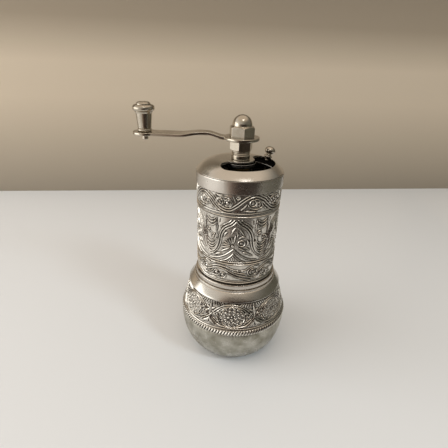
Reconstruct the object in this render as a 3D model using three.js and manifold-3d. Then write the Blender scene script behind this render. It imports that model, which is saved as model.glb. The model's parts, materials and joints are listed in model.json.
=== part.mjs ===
// Hand-cranked spice mill: a bulb-shaped jar, an embossed tube with burrs inside,
// a domed cap with a crescent filling slot and a turning shutter, and a crank with a knob.
// Millimetres, +Z up, origin on the axis at the underside of the jar, crank towards -X.

import * as THREE from 'three';
import { mergeVertices } from 'three/addons/utils/BufferGeometryUtils.js';
import Module from 'manifold-3d';

const wasm = await Module();
wasm.setup();

const TURN = 2 * Math.PI;
const degrees = THREE.MathUtils.degToRad;

// Clearances
const seatGap = 0.05;        // between two fixed faces that rest on each other
const slipGap = 0.25;        // between pieces that slide or lift apart, per side
const pressGap = 0.05;       // between a pressed bush and its hole, per side
const runGap = 0.12;         // between a turning shaft or pin and its bore, per side
const screwGap = 0.12;       // between a screw and its hole, per side
const past = 1;              // how far a cutting tool runs past the faces that it opens
const sunk = 0.2;            // how far two joined shapes reach into each other

// Jar
const jarHeight = 38.1;
const jarWall = 1.2;
const jarFloor = 1.4;
const jarFootRadius = 14.5;  // centre of the bowl's elliptical side
const jarBellyRadius = 24.2;
const jarBellyHeight = 18;
const ropeRadius = 24.5;
const ropeBottom = 18.9;
const ropeTop = 20.9;
const shoulderRadius = 23.9; // just above the rope moulding
const shoulderWaist = 22.2;
const shoulderTopRadius = 20.5;
const collarBottom = 33.9;
const collarRadius = 20.9;
const collarTop = 37;
const collarTopRadius = 18.5;
const lipRadius = 18.3;
const lipRound = 0.45;
const jarMouthRadius = 16.3;
const jarMouthDepth = 3;
const jarNeckFlare = 3.4;    // height of the cone inside, under the mouth

// Ring under the tube
const beadRadius = 17.8;
const beadHeight = 2.2;
const beadRound = 0.6;
const spigotLength = 4.5;
const spigotWall = 0.85;
const flangeHeight = 2;
const flangeRadius = 11.4;   // hole in the flange
const sleeveLength = 3;      // part of the ring inside the tube

// Tube
const tubeRadius = 17.2;
const tubeTopRadius = 17.6;
const tubeInnerRadius = 16.2;
const tubeHeight = 40.3;     // seen between bead and cap
const tubeGroove = 0.3;
const tubeGrooveDepth = 0.25;

// Cap
const capBandRadius = 17.9;
const capBandWall = 0.5;
const capBandHeight = 5;
const capRimRadius = 17.5;
const capGroove = 0.35;
const capRimEdge = 0.1;      // upright edge between the groove and the dome
const capRise = 3.65;        // from the rim's edge to the flat top
const capFlatRadius = 8;
const capCurve = 2.8;        // power of the dome's fall towards the rim
const capSheet = 0.8;
const capSeatDepth = 0.6;    // band's top down to the shelf that rests on the tube
const capWallRadius = 16.4;  // inside, above the tube

// Filling slot, measured along its middle line
const slotRadius = 9.85;
const slotWidth = 8.4;
const slotStart = -109;
const slotEnd = 20;

// Shutter, held under the cap
const shutterSheet = 0.6;
const shutterRadius = 15;
const shutterHubRadius = 6.3;
const shutterStart = -8;
const shutterEnd = 205;
const shutterSlant = 14;     // how far the leading edge leans back from a radius
const shutterHoleRadius = 4.4;
const shutterPinAngle = 25;
const shutterPinRadius = 12;
const shutterPinLean = 17;
const shutterRivetRadius = 0.8;
const shutterRivetLength = 1.2;
const pinSeat = 0.45;        // foot's underside above the sheet, for the lean
const pinFootRadius = 1.5;
const pinFootHeight = 0.75;
const pinNeckRadius = 0.85;
const pinNeckHeight = 1.35;
const pinHeadRadius = 1.75;
const pinHeadHeight = 2.9;

// Bush, washer and clip in the middle of the cap
const capBushRadius = 4.15;
const capBushNeck = 3.45;
const capBushLength = 3.4;
const shutterWasherRadius = 6;
const shutterWasherSheet = 0.6;
const clipSheet = 0.5;
const clipRadius = 5.2;
const clipGroove = 3.75;
const clipMouth = 4.6;       // width of the clip's open side

// Shaft and drive nut
const shaftRadius = 2.5;
const shaftFlats = 4.2;
const shaftThread = 4.45;    // above the crank's hub, inside the domed nut
const shaftTail = 3;         // below the adjusting nut
const shaftChamfer = 0.4;
const shankRadius = 3.73;
const shankHeight = 3.55;
const shankGroove = 0.25;
const shankGroovePlaces = [1.5, 0.8]; // below the hexagon
const driveHexFlats = 8.05;
const driveHexHeight = 4;
const driveHexTurn = 19;
const hexChamfer = 30;       // degrees

// Crank
const armSheet = 1.2;
const hubRadius = 7.1;
const armEnd = 38.3;         // axis to knob
const eyeRadius = 4.7;
const eyeRise = 0.45;        // eye above the hub
const neckHalfWidth = 2.4;
const neckPlace = 12;
const bladeHalfWidth = 3.9;
const bladePlace = 24;
const humpHeight = 1.5;
const humpPlace = 14.5;
const humpLength = 11.5;     // from the hump down to the level of the eye
const armTipAngle = 3;       // degrees from the arm's tips to the first and last station
const acornFlats = 9;
const acornHexHeight = 4;
const acornDomeRadius = 3.9;
const acornHeight = 8.3;
const acornBoreRoom = 0.6;   // above the end of the shaft

// Knob
const knobPinRadius = 1.2;
const knobPinTail = 2.1;
const pinChamfer = 0.3;
const knobBeadRadius = 2.9;
const knobBeadHeight = 0.9;
const knobFootRadius = 2.6;
const knobGroove = 0.2;      // between bead and stem
const knobNeckRadius = 3.15;
const knobNeckFillet = 0.25; // under the head, outwards
const knobNeckDrop = 0.6;    // under the head, downwards
const knobHeadRadius = 4.3;
const knobHeadHeight = 2.5;
const knobHeight = 9.95;
const knobRecess = 0.4;      // round the button
const buttonRadius = 2.75;
const buttonHeight = 1.3;
const buttonEdge = 0.6;      // upright part of the button's side
const buttonRound = 0.9;

// Burrs
const burrTeeth = 24;
const toothFacets = 3;
const burrHeight = 12.4;
const burrTwist = 26;        // degrees from bottom to top of a tooth
const burrLift = 0.2;        // underside of the cone above that of the ring
const burrThroat = 3;        // untoothed mouth at the top of the ring
const boreSteepness = 0.55;  // slope of the ring's bore, as a share of the cone's
const toothDepth = 0.7;
const burrGap = 0.3;         // between the teeth at the finest setting
const coneHeight = 10;
const coneRadius = 10.6;
const coneTopRadius = 5.4;
const coneCurve = 1.15;      // power of the side's fall towards the top
const coneRecess = 0.8;      // in the underside, round the shaft
const coneRecessWall = 2;    // from the shaft to the recess's edge
const coneFlutes = 6;
const fluteDepth = 1.6;
const burrMouthRadius = 12.2;
const burrScrewCircle = 13;
const burrScrewCount = 3;
const firstScrewAngle = 90;
const burrScrewRadius = 0.95;
const screwHeadRadius = 1.6;
const screwHeadHeight = 1.3;
const screwSlot = 0.45;
const screwSlotDepth = 0.55;
const screwGrip = 4.6;       // length of screw inside the bridge

// Bridge
const bridgeRingWall = 1.3;
const bridgeHeight = 5.4;
const bridgeHubRadius = 4.7;
const bridgeHubHeight = 4.6;
const bridgeHubLift = 3.4;   // underside of the hub above the outer burr
const bridgeArmWidth = 3.2;
const bridgeBossRadius = 2;
const bridgeBushWall = 0.8;

// Spring, washer and adjusting nut
const springWire = 0.8;
const springTurns = 2.5;
const springFacets = 14;     // per turn
const springRadius = 3.9;
const springWasherSheet = 0.5;
const springWasherRadius = 4.9;
const adjusterRadius = 7;
const adjusterHeight = 2.6;
const adjusterLobes = 8;
const adjusterScallop = 1.5;
const adjusterBossRadius = 4.2;
const adjusterBossHeight = 0.7;

// Smoothness: segments of a full turn
const fine = 40;
const medium = 20;
const coarse = 12;

// Heights that follow from the sizes above
const tubeBottom = jarHeight + beadHeight;
const tubeTop = tubeBottom + tubeHeight;
const capBandTop = tubeTop + capBandHeight;
const capShelf = capBandTop - capSeatDepth;
const capRimHeight = capBandTop + capGroove;
const capTop = capRimHeight + capRimEdge + capRise;
const flangeTop = jarHeight + flangeHeight;
const burrBottom = flangeTop + seatGap;
const burrTop = burrBottom + burrHeight;
const coneBottom = burrBottom + burrLift;
const coneTop = coneBottom + coneHeight;
const sleeveRadius = tubeInnerRadius - pressGap;
const sleeveInnerRadius = sleeveRadius - spigotWall;
const outerBurrRadius = sleeveInnerRadius - slipGap;
const bridgeBottom = burrTop + seatGap;
const bridgeHubBottom = burrTop + bridgeHubLift;
const driveBottom = capTop + seatGap;
const shankTop = driveBottom + shankHeight;
const driveTop = shankTop + driveHexHeight;
const hubBottom = driveTop + seatGap;
const hubMiddle = hubBottom + armSheet / 2;
const hubTop = hubBottom + armSheet;
const eyeMiddle = hubMiddle + eyeRise;
const eyeTop = eyeMiddle + armSheet / 2;
const acornBottom = hubTop + seatGap;
const adjusterTop = coneBottom - seatGap;
const adjusterBottom = adjusterTop - adjusterBossHeight - adjusterHeight;
const shaftTop = hubTop + shaftThread;
const shaftBottom = adjusterBottom - shaftTail;
const shutterBottom = capTop - capSheet - slipGap - shutterSheet;
const washerBottom = shutterBottom - seatGap - shutterWasherSheet;
const clipTop = washerBottom - seatGap;
const knobBottom = eyeTop + runGap;

// Finishes
const finishes = {
  embossed: { color: 0xa39a8c, roughness: 0.34, metalness: 1 },
  satin: { color: 0xb3a896, roughness: 0.4, metalness: 1 },
  polished: { color: 0xb0a798, roughness: 0.2, metalness: 1 },
  steel: { color: 0x8f8c88, roughness: 0.35, metalness: 1 },
  iron: { color: 0x4a4845, roughness: 0.6, metalness: 0.9 },
  brass: { color: 0xb5924c, roughness: 0.35, metalness: 1 },
};

// Joins equal corners and turns the faces outwards.
function closed(geometry) {
  const bare = geometry.index ? geometry.toNonIndexed() : geometry.clone();
  bare.deleteAttribute('normal');
  bare.deleteAttribute('uv');
  const merged = mergeVertices(bare, 1e-4);
  const position = merged.attributes.position;
  const corner = [new THREE.Vector3(), new THREE.Vector3(), new THREE.Vector3()];
  const kept = [];
  let volume = 0;
  for (let i = 0; i < merged.index.count; i += 3) {
    const ids = [0, 1, 2].map((k) => merged.index.getX(i + k));
    if (new Set(ids).size < 3) continue;
    kept.push(ids);
    ids.forEach((id, k) => corner[k].fromBufferAttribute(position, id));
    volume += corner[0].dot(corner[1].cross(corner[2]));
  }
  merged.setIndex((volume < 0 ? kept.map((ids) => ids.reverse()) : kept).flat());
  return merged;
}

function toManifold(geometry) {
  const shape = closed(geometry);
  return new wasm.Manifold(new wasm.Mesh({
    numProp: 3,
    vertProperties: new Float32Array(shape.attributes.position.array),
    triVerts: new Uint32Array(shape.index.array),
  }));
}

function toGeometry(manifold) {
  const mesh = manifold.getMesh();
  const geometry = new THREE.BufferGeometry();
  geometry.setAttribute('position', new THREE.BufferAttribute(mesh.vertProperties, 3));
  geometry.setIndex(new THREE.BufferAttribute(mesh.triVerts, 1));
  return geometry;
}

function cut(base, ...tools) {
  return toGeometry(tools.reduce((rest, tool) => rest.subtract(toManifold(tool)), toManifold(base)));
}

function join(base, ...others) {
  return toGeometry(others.reduce((sum, other) => sum.add(toManifold(other)), toManifold(base)));
}

function common(base, other) {
  return toGeometry(toManifold(base).intersect(toManifold(other)));
}

// Revolves [radius, height] points about Z. shape, if given, moves each ring's points:
// it takes radius, height and angle and gives the new radius and angle.
function revolve(outline, segments, shape) {
  const points = outline.map(([r, z]) => new THREE.Vector2(r, z));
  const ends = [outline[0], outline[outline.length - 1]];
  if (ends.some(([r]) => r > 0)) points.push(points[0].clone());
  const lathe = new THREE.LatheGeometry(points, segments).rotateX(Math.PI / 2);
  if (!shape) return lathe;
  const position = lathe.attributes.position;
  for (let i = 0; i < position.count; i += 1) {
    const x = position.getX(i);
    const y = position.getY(i);
    const z = position.getZ(i);
    const [radius, angle] = shape(Math.hypot(x, y), z, Math.atan2(y, x));
    position.setXYZ(i, radius * Math.cos(angle), radius * Math.sin(angle), z);
  }
  return lathe;
}

// Points of an elliptical arc in the outline's plane, angles in degrees.
function arc(centreRadius, centreHeight, across, up, from, to, steps) {
  return Array.from({ length: steps + 1 }, (_, i) => {
    const angle = degrees(from + (to - from) * i / steps);
    return [centreRadius + across * Math.cos(angle), centreHeight + up * Math.sin(angle)];
  });
}

function disc(radius, bottom, top, segments = coarse, x = 0, y = 0) {
  const geometry = new THREE.CylinderGeometry(radius, radius, top - bottom, segments);
  return geometry.rotateX(Math.PI / 2).translate(x, y, (top + bottom) / 2);
}

function block(sizeX, sizeY, bottom, top, x = 0, y = 0) {
  return new THREE.BoxGeometry(sizeX, sizeY, top - bottom).translate(x, y, (top + bottom) / 2);
}

function plate(shape, bottom, top, curveSegments) {
  const options = { depth: top - bottom, bevelEnabled: false, curveSegments };
  return new THREE.ExtrudeGeometry(shape, options).translate(0, 0, bottom);
}

function onCircle(radius, angle) {
  return [radius * Math.cos(degrees(angle)), radius * Math.sin(degrees(angle))];
}

// Height of the cap's top surface at a radius.
function capDome(radius) {
  const share = Math.max(0, radius - capFlatRadius) / (capRimRadius - capFlatRadius);
  return capTop - capRise * share ** capCurve;
}

function domePoints(from, to, drop, steps = 4) {
  return Array.from({ length: steps + 1 }, (_, i) => {
    const radius = from + (to - from) * i / steps;
    return [radius, capDome(radius) - drop];
  });
}

// Jar: outside from the foot up to the lip, then down the inside to the floor.
function jarBowl() {
  const middle = [jarFootRadius, jarBellyHeight];
  const bowl = arc(...middle, jarBellyRadius - jarFootRadius, jarBellyHeight, -90, 0, 5);
  const ropeMiddle = (ropeBottom + ropeTop) / 2;
  const ropeDepth = ropeRadius - jarBellyRadius + 0.5;
  const rope = arc(ropeRadius - ropeDepth, ropeMiddle, ropeDepth, (ropeTop - ropeBottom) / 2, -80, 80, 2);
  const shoulder = new THREE.QuadraticBezierCurve(
    new THREE.Vector2(shoulderRadius, ropeTop),
    new THREE.Vector2(shoulderWaist, (ropeTop + collarBottom) / 2 - 1),
    new THREE.Vector2(shoulderTopRadius, collarBottom),
  ).getPoints(3).map((p) => [p.x, p.y]);
  const lip = arc(lipRadius - lipRound, jarHeight - lipRound, lipRound, lipRound, 0, 90, 2);
  const across = jarBellyRadius - jarWall - jarFootRadius;
  const inside = arc(...middle, across, jarBellyHeight - jarFloor, 0, -90, 4);
  return revolve([
    [0, 0],
    ...bowl,
    ...rope,
    ...shoulder,
    [collarRadius, collarBottom],
    [collarTopRadius, collarTop],
    [lipRadius, collarTop],
    ...lip,
    [jarMouthRadius, jarHeight],
    [jarMouthRadius, jarHeight - jarMouthDepth],
    [shoulderTopRadius - jarWall, jarHeight - jarMouthDepth - jarNeckFlare],
    [shoulderRadius - jarWall, ropeTop],
    ...inside,
    [0, jarFloor],
  ], fine);
}

function screwPlaces() {
  return Array.from({ length: burrScrewCount }, (_, i) => firstScrewAngle + 360 * i / burrScrewCount);
}

function screwHoles(radius, bottom, top) {
  return screwPlaces().map((angle) => disc(radius, bottom, top, coarse, ...onCircle(burrScrewCircle, angle)));
}

// Turned ring: spigot into the jar, bead between jar and tube, sleeve inside the tube,
// and an inward flange that carries the outer burr.
function spigotRing() {
  const spigotRadius = jarMouthRadius - slipGap;
  const beadBottom = jarHeight + seatGap;
  const ring = revolve([
    [spigotRadius - spigotWall, jarHeight - spigotLength],
    [spigotRadius, jarHeight - spigotLength],
    [spigotRadius, beadBottom],
    ...arc(beadRadius - beadRound, beadBottom + beadRound, beadRound, beadRound, -90, 0, 1),
    ...arc(beadRadius - beadRound, tubeBottom - beadRound, beadRound, beadRound, 0, 90, 1),
    [sleeveRadius, tubeBottom],
    [sleeveRadius, tubeBottom + sleeveLength],
    [sleeveInnerRadius, tubeBottom + sleeveLength],
    [sleeveInnerRadius, flangeTop],
    [flangeRadius, flangeTop],
    [flangeRadius, jarHeight],
    [spigotRadius - spigotWall, jarHeight],
  ], fine);
  return cut(ring, ...screwHoles(burrScrewRadius + screwGap, jarHeight - past, flangeTop + past));
}

// Tube: a groove above the bead, slightly wider at the top, and a neck inside the cap.
function bodyShell() {
  const bottom = tubeBottom + seatGap;
  const shoulder = tubeTop - seatGap;
  const neckRadius = capBandRadius - capBandWall - slipGap;
  return revolve([
    [tubeInnerRadius, bottom],
    [tubeRadius - tubeGrooveDepth, bottom],
    [tubeRadius - tubeGrooveDepth, bottom + tubeGroove],
    [tubeRadius, bottom + 2 * tubeGroove],
    [tubeTopRadius, shoulder],
    [neckRadius, shoulder],
    [neckRadius, capShelf - seatGap],
    [tubeInnerRadius, capShelf - seatGap],
  ], fine);
}

// Crescent with round ends, as a shape in plan.
function crescent(radius, width, from, to) {
  const half = width / 2;
  const shape = new THREE.Shape();
  shape.absarc(0, 0, radius + half, degrees(from), degrees(to), false);
  shape.absarc(...onCircle(radius, to), half, degrees(to), degrees(to + 180), false);
  shape.absarc(0, 0, radius - half, degrees(to), degrees(from), true);
  shape.absarc(...onCircle(radius, from), half, degrees(from + 180), degrees(from + 360), false);
  return shape;
}

function cap() {
  const underside = domePoints(capWallRadius, capBushNeck + pressGap, capSheet);
  const body = revolve([
    ...domePoints(capBushNeck + pressGap, capRimRadius, 0, 8),
    [capRimRadius, capRimHeight],
    [capRimRadius - capGroove / 2, capRimHeight - capGroove / 2],
    [capRimRadius, capBandTop],
    [capBandRadius - capGroove / 2, capBandTop],
    [capBandRadius, capBandTop - capGroove / 2],
    [capBandRadius, tubeTop + capGroove],
    [capBandRadius - capGroove / 2, tubeTop],
    [capBandRadius - capBandWall, tubeTop],
    [capBandRadius - capBandWall, capShelf],
    [capWallRadius, capShelf],
    ...underside,
  ], fine);
  const slot = crescent(slotRadius, slotWidth, slotStart, slotEnd);
  return cut(body, plate(slot, capTop - capRise, capTop + past, 10));
}

// Bush: a neck through the cap, and a thicker hub under it with a groove for the clip.
function capBush() {
  const hubTopHeight = capTop - capSheet - seatGap;
  const hubBase = hubTopHeight - capBushLength;
  const grooveTop = clipTop + seatGap;
  const grooveBottom = clipTop - clipSheet - seatGap;
  return revolve([
    [shaftRadius + runGap, hubBase],
    [capBushRadius, hubBase],
    [capBushRadius, grooveBottom],
    [clipGroove, grooveBottom],
    [clipGroove, grooveTop],
    [capBushRadius, grooveTop],
    [capBushRadius, hubTopHeight],
    [capBushNeck, hubTopHeight],
    [capBushNeck, capTop],
    [shaftRadius + runGap, capTop],
  ], medium);
}

function washer(hole, radius, bottom, thickness, segments = medium) {
  const top = bottom + thickness;
  return revolve([[hole, bottom], [radius, bottom], [radius, top], [hole, top]], segments);
}

function shutterWasher() {
  return washer(capBushRadius + runGap, shutterWasherRadius, washerBottom, shutterWasherSheet);
}

function shutterClip() {
  const bottom = clipTop - clipSheet;
  const ring = washer(clipGroove + seatGap, clipRadius, bottom, clipSheet);
  return cut(ring, block(clipRadius, clipMouth, bottom - past, clipTop + past, -clipRadius));
}

// Moves a shape drawn on the Z axis to the place and lean of the shutter's pin.
function placePin(geometry) {
  const [x, y] = onCircle(shutterPinRadius, shutterPinAngle);
  const height = capDome(shutterPinRadius) - capSheet - slipGap;
  return geometry
    .rotateY(degrees(shutterPinLean))
    .rotateZ(degrees(shutterPinAngle))
    .translate(x, y, height);
}

// Sheet that follows the cap's underside: a round hub and a wing that closes the slot.
function shutterPlate() {
  const drop = capSheet + slipGap;
  const full = revolve([
    ...domePoints(shutterHoleRadius, shutterRadius, drop + shutterSheet),
    ...domePoints(shutterRadius, shutterHoleRadius, drop),
  ], fine);
  const reach = shutterRadius + past;
  const away = new THREE.Shape();
  away.absarc(0, 0, reach, degrees(shutterEnd - 360), degrees(shutterStart - shutterSlant), false);
  away.lineTo(...onCircle(shutterHubRadius, shutterStart + shutterSlant));
  away.absarc(0, 0, shutterHubRadius, degrees(shutterStart + shutterSlant), degrees(shutterEnd - 360), true);
  const rivetHole = placePin(disc(shutterRivetRadius + pressGap, -shutterRivetLength - past, past));
  return cut(full, plate(away, capTop - capRise - drop - shutterSheet, capTop, coarse), rivetHole);
}

// Turned pin: rivet end, flat foot, thin neck and a rounded head.
function shutterPin() {
  const neckBottom = pinSeat + pinFootHeight;
  const neckTop = neckBottom + pinNeckHeight;
  const headHalf = pinHeadHeight / 2;
  return placePin(revolve([
    [0, -shutterRivetLength],
    [shutterRivetRadius, -shutterRivetLength],
    [shutterRivetRadius, pinSeat],
    [pinFootRadius, pinSeat],
    [pinFootRadius, pinSeat + pinFootHeight / 2],
    [(pinFootRadius + pinNeckRadius) / 2, neckBottom],
    [pinNeckRadius, (neckBottom + neckTop) / 2],
    [pinNeckRadius, neckTop],
    ...arc(0, neckTop + headHalf, pinHeadRadius, headHalf, -60, 90, 7),
  ], coarse));
}

// Rod with two flats for the burr and nut below, and for the crank above.
function shaft() {
  const rod = revolve([
    [0, shaftBottom],
    [shaftRadius - shaftChamfer, shaftBottom],
    [shaftRadius, shaftBottom + shaftChamfer],
    [shaftRadius, shaftTop - shaftChamfer],
    [shaftRadius - shaftChamfer, shaftTop],
    [0, shaftTop],
  ], medium);
  const side = shaftRadius - shaftFlats / 2;
  const flatted = [[shaftBottom - past, coneTop + slipGap], [hubBottom - slipGap, shaftTop + past]];
  const flats = flatted.flatMap(([bottom, top]) => (
    [-1, 1].map((sign) => block(2 * side, 4 * shaftRadius, bottom, top, sign * (shaftFlats / 2 + side)))));
  return cut(rod, ...flats);
}

// Bore that fits the shaft's flats with a gap.
function flattedBore(gap, bottom, top) {
  const round = disc(shaftRadius + gap, bottom, top, medium);
  return common(round, block(shaftFlats + 2 * gap, 4 * shaftRadius, bottom, top));
}

// Hexagonal prism with chamfered corners at one or both ends.
function hexagon(flats, bottom, top, turn, chamferBelow, chamferAbove) {
  const corner = flats / Math.sqrt(3);
  const inner = flats / 2;
  const slope = (corner - inner) * Math.tan(degrees(hexChamfer));
  const round = corner + sunk;
  const prism = new THREE.CylinderGeometry(corner, corner, top - bottom, 6)
    .rotateX(Math.PI / 2)
    .rotateZ(degrees(turn))
    .translate(0, 0, (top + bottom) / 2);
  const envelope = revolve([
    [0, bottom],
    [chamferBelow ? inner : round, bottom],
    [round, bottom + (chamferBelow ? slope : 0)],
    [round, top - (chamferAbove ? slope : 0)],
    [chamferAbove ? inner : round, top],
    [0, top],
  ], medium);
  return common(prism, envelope);
}

// Collar on the shaft: a round shank with two turned grooves and a hexagon above.
function driveNut() {
  const grooves = shankGroovePlaces.map((drop) => shankTop - drop).flatMap((z) => [
    [shankRadius, z - shankGroove],
    [shankRadius - shankGroove, z],
    [shankRadius, z + shankGroove],
  ]);
  const shank = revolve([
    [0, driveBottom],
    [shankRadius, driveBottom],
    ...grooves,
    [shankRadius, shankTop + sunk],
    [0, shankTop + sunk],
  ], medium);
  const hex = hexagon(driveHexFlats, shankTop, driveTop, driveHexTurn, true, false);
  return cut(join(shank, hex), disc(shaftRadius + pressGap, driveBottom - past, driveTop + past, medium));
}

// Half width of the arm in plan at a distance from the axis.
function armHalfWidth(distance) {
  const blade = THREE.MathUtils.smoothstep(distance, neckPlace, bladePlace);
  const strip = neckHalfWidth + (bladeHalfWidth - neckHalfWidth) * blade;
  const hub = Math.sqrt(Math.max(0, hubRadius ** 2 - distance ** 2));
  const eye = Math.sqrt(Math.max(0, eyeRadius ** 2 - (distance - armEnd) ** 2));
  return distance > armEnd ? eye : Math.max(distance > 0 ? strip : 0, hub, eye);
}

// Middle height of the arm's sheet: flat hub, a hump, then flat again at the eye.
function armMiddle(distance) {
  const rise = THREE.MathUtils.smootherstep(distance, hubRadius * 0.8, humpPlace);
  const fall = THREE.MathUtils.smootherstep(distance, humpPlace, humpPlace + humpLength);
  return hubMiddle + humpHeight * rise - (humpHeight + hubMiddle - eyeMiddle) * fall;
}

// Strip built from crosswise stations, each with two corners above and two below.
function armStrip() {
  const blade = 19;
  const stations = [
    ...arc(0, 0, hubRadius, 0, 180 - armTipAngle, 18, 14).map(([x]) => x),
    ...Array.from({ length: blade + 1 }, (_, i) => hubRadius + (armEnd - eyeRadius - hubRadius) * i / blade),
    ...arc(armEnd, 0, eyeRadius, 0, 180, armTipAngle, 14).map(([x]) => x).slice(1),
  ];
  const corners = [];
  const faces = [];
  stations.forEach((distance, i) => {
    const half = armHalfWidth(distance);
    const middle = armMiddle(distance);
    [[1, 1], [-1, 1], [-1, -1], [1, -1]].forEach(([side, up]) => {
      corners.push(-distance, side * half, middle + up * armSheet / 2);
    });
    if (i === 0) return;
    for (let k = 0; k < 4; k += 1) {
      const a = 4 * (i - 1) + k;
      const b = 4 * (i - 1) + (k + 1) % 4;
      faces.push(a, b, b + 4, a, b + 4, a + 4);
    }
  });
  const last = 4 * (stations.length - 1);
  faces.push(2, 1, 0, 3, 2, 0, last, last + 1, last + 2, last, last + 2, last + 3);
  const geometry = new THREE.BufferGeometry();
  geometry.setAttribute('position', new THREE.Float32BufferAttribute(corners, 3));
  geometry.setIndex(faces);
  return geometry;
}

function crankArm() {
  const pinHole = disc(knobPinRadius + pressGap, eyeMiddle - armSheet, eyeMiddle + armSheet, coarse, -armEnd);
  return cut(armStrip(), flattedBore(pressGap, hubBottom - past, hubTop + past), pinHole);
}

function acornNut() {
  const hexTop = acornBottom + acornHexHeight;
  const top = acornBottom + acornHeight;
  const domeMiddle = top - acornDomeRadius;
  const hex = hexagon(acornFlats, acornBottom, hexTop, -driveHexTurn, false, true);
  const dome = revolve([
    [0, hexTop - sunk],
    [acornDomeRadius, hexTop - sunk],
    ...arc(0, domeMiddle, acornDomeRadius, acornDomeRadius, 0, 90, 6),
  ], medium);
  const bore = disc(shaftRadius + pressGap, acornBottom - past, shaftTop + acornBoreRoom, medium);
  return cut(join(hex, dome), bore);
}

// Pin through the arm's eye and the knob, with a button head on top.
function knobPin() {
  const seat = knobBottom + knobHeight - knobRecess + runGap;
  const top = seat + buttonHeight;
  const tail = eyeMiddle - armSheet / 2 - knobPinTail;
  return revolve([
    [0, tail],
    [knobPinRadius - pinChamfer, tail],
    [knobPinRadius, tail + pinChamfer],
    [knobPinRadius, seat],
    [buttonRadius, seat],
    [buttonRadius, seat + buttonEdge],
    ...arc(buttonRadius - buttonRound, seat + buttonEdge, buttonRound, buttonHeight - buttonEdge, 0, 90, 2),
    [0, top],
  ], medium).translate(-armEnd, 0, 0);
}

// Turned knob: bead, groove, flaring stem and a rounded head with a recess on top.
function knobGrip() {
  const headMiddle = knobBottom + knobHeight - knobHeadHeight / 2;
  const headRound = knobHeadHeight / 2;
  const footRound = knobBeadHeight / 2;
  const stemBottom = knobBottom + knobBeadHeight + knobGroove;
  const bore = knobPinRadius + runGap;
  return revolve([
    [bore, knobBottom],
    ...arc(knobBeadRadius - footRound, knobBottom + footRound, footRound, footRound, -90, 90, 3),
    [knobFootRadius - knobGroove, knobBottom + knobBeadHeight],
    [knobFootRadius, stemBottom],
    [knobNeckRadius, headMiddle - headRound - knobNeckDrop],
    [knobNeckRadius + knobNeckFillet, headMiddle - headRound],
    ...arc(knobHeadRadius - headRound, headMiddle, headRound, headRound, -70, 90, 6),
    [buttonRadius + slipGap, headMiddle + headRound - knobRecess],
    [bore, headMiddle + headRound - knobRecess],
  ], medium).translate(-armEnd, 0, 0);
}

// Sawtooth wave from 1 down to 0. The shift keeps a ring's corners off its jump.
function sawtooth(turns) {
  const shift = 0.03;
  return 1 - (turns + shift - Math.floor(turns + shift));
}

// Outer burr: a ring whose cone-shaped bore carries slanting teeth, open at the top.
function outerBurr() {
  const rows = 3;
  const slope = boreSteepness * (coneRadius - coneTopRadius) / coneHeight;
  const bore = Array.from({ length: rows + 1 }, (_, i) => {
    const z = burrBottom + (burrHeight - burrThroat) * i / rows;
    return [coneRadius + burrGap - slope * (z - coneBottom), z];
  });
  const toothed = burrTop - burrThroat;
  const ring = revolve([
    [outerBurrRadius, burrBottom],
    [outerBurrRadius, burrTop],
    [burrMouthRadius, burrTop],
    ...bore.reverse(),
  ], burrTeeth * toothFacets, (radius, z, angle) => {
    if (radius > burrMouthRadius - sunk || z > toothed + sunk) return [radius, angle];
    const twist = degrees(burrTwist) * (z - burrBottom) / burrHeight;
    return [radius + toothDepth * (1 - sawtooth(angle * burrTeeth / TURN)), angle + twist];
  });
  return cut(ring, ...screwHoles(burrScrewRadius + screwGap, burrBottom - past, burrTop + past));
}

// Inner burr: a cone with fine teeth below and a few deep feeding flutes above.
function innerBurr() {
  const rows = 5;
  const side = Array.from({ length: rows + 1 }, (_, i) => {
    const z = coneBottom + coneHeight * i / rows;
    return [coneRadius + (coneTopRadius - coneRadius) * (i / rows) ** coneCurve, z];
  });
  const outline = [[0, coneBottom], ...side, [0, coneTop]];
  const body = revolve(outline, burrTeeth * toothFacets, (radius, z, angle) => {
    if (radius < coneTopRadius - sunk) return [radius, angle];
    const up = (z - coneBottom) / coneHeight;
    const teeth = toothDepth * (1 - sawtooth(angle * burrTeeth / TURN)) * (1 - up);
    const flutes = fluteDepth * (1 - sawtooth(angle * coneFlutes / TURN)) * up;
    return [radius - teeth - flutes, angle - degrees(burrTwist) * up];
  });
  const recess = disc(shaftRadius + coneRecessWall, coneBottom - past, coneBottom + coneRecess);
  return cut(body, flattedBore(runGap, coneBottom - past, coneTop + past), recess);
}

// Bearing carrier: a ring on the burr, bosses for the screws, and arms to a hub.
function shaftBridge() {
  const radius = tubeInnerRadius - slipGap;
  const top = bridgeBottom + bridgeHeight;
  const hubTopHeight = bridgeHubBottom + bridgeHubHeight;
  const ring = washer(radius - bridgeRingWall, radius, bridgeBottom, bridgeHeight, fine);
  const hub = disc(bridgeHubRadius, bridgeHubBottom, hubTopHeight, medium);
  const spokes = screwPlaces().flatMap((angle) => {
    const length = radius - bridgeRingWall / 2;
    const arm = block(length, bridgeArmWidth, bridgeHubBottom, top, length / 2).rotateZ(degrees(angle));
    return [arm, disc(bridgeBossRadius, bridgeBottom, top, coarse, ...onCircle(burrScrewCircle, angle))];
  });
  const holeTop = bridgeBottom + screwGrip + screwGap;
  const holes = screwHoles(burrScrewRadius + screwGap, bridgeBottom - past, holeTop);
  const bushRadius = shaftRadius + runGap + bridgeBushWall;
  const bushHole = disc(bushRadius + pressGap, bridgeBottom - past, hubTopHeight + past, medium);
  return cut(join(ring, hub, ...spokes), bushHole, ...holes);
}

function bridgeBush() {
  const bore = shaftRadius + runGap;
  return washer(bore, bore + bridgeBushWall, bridgeHubBottom, bridgeHubHeight);
}

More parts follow.
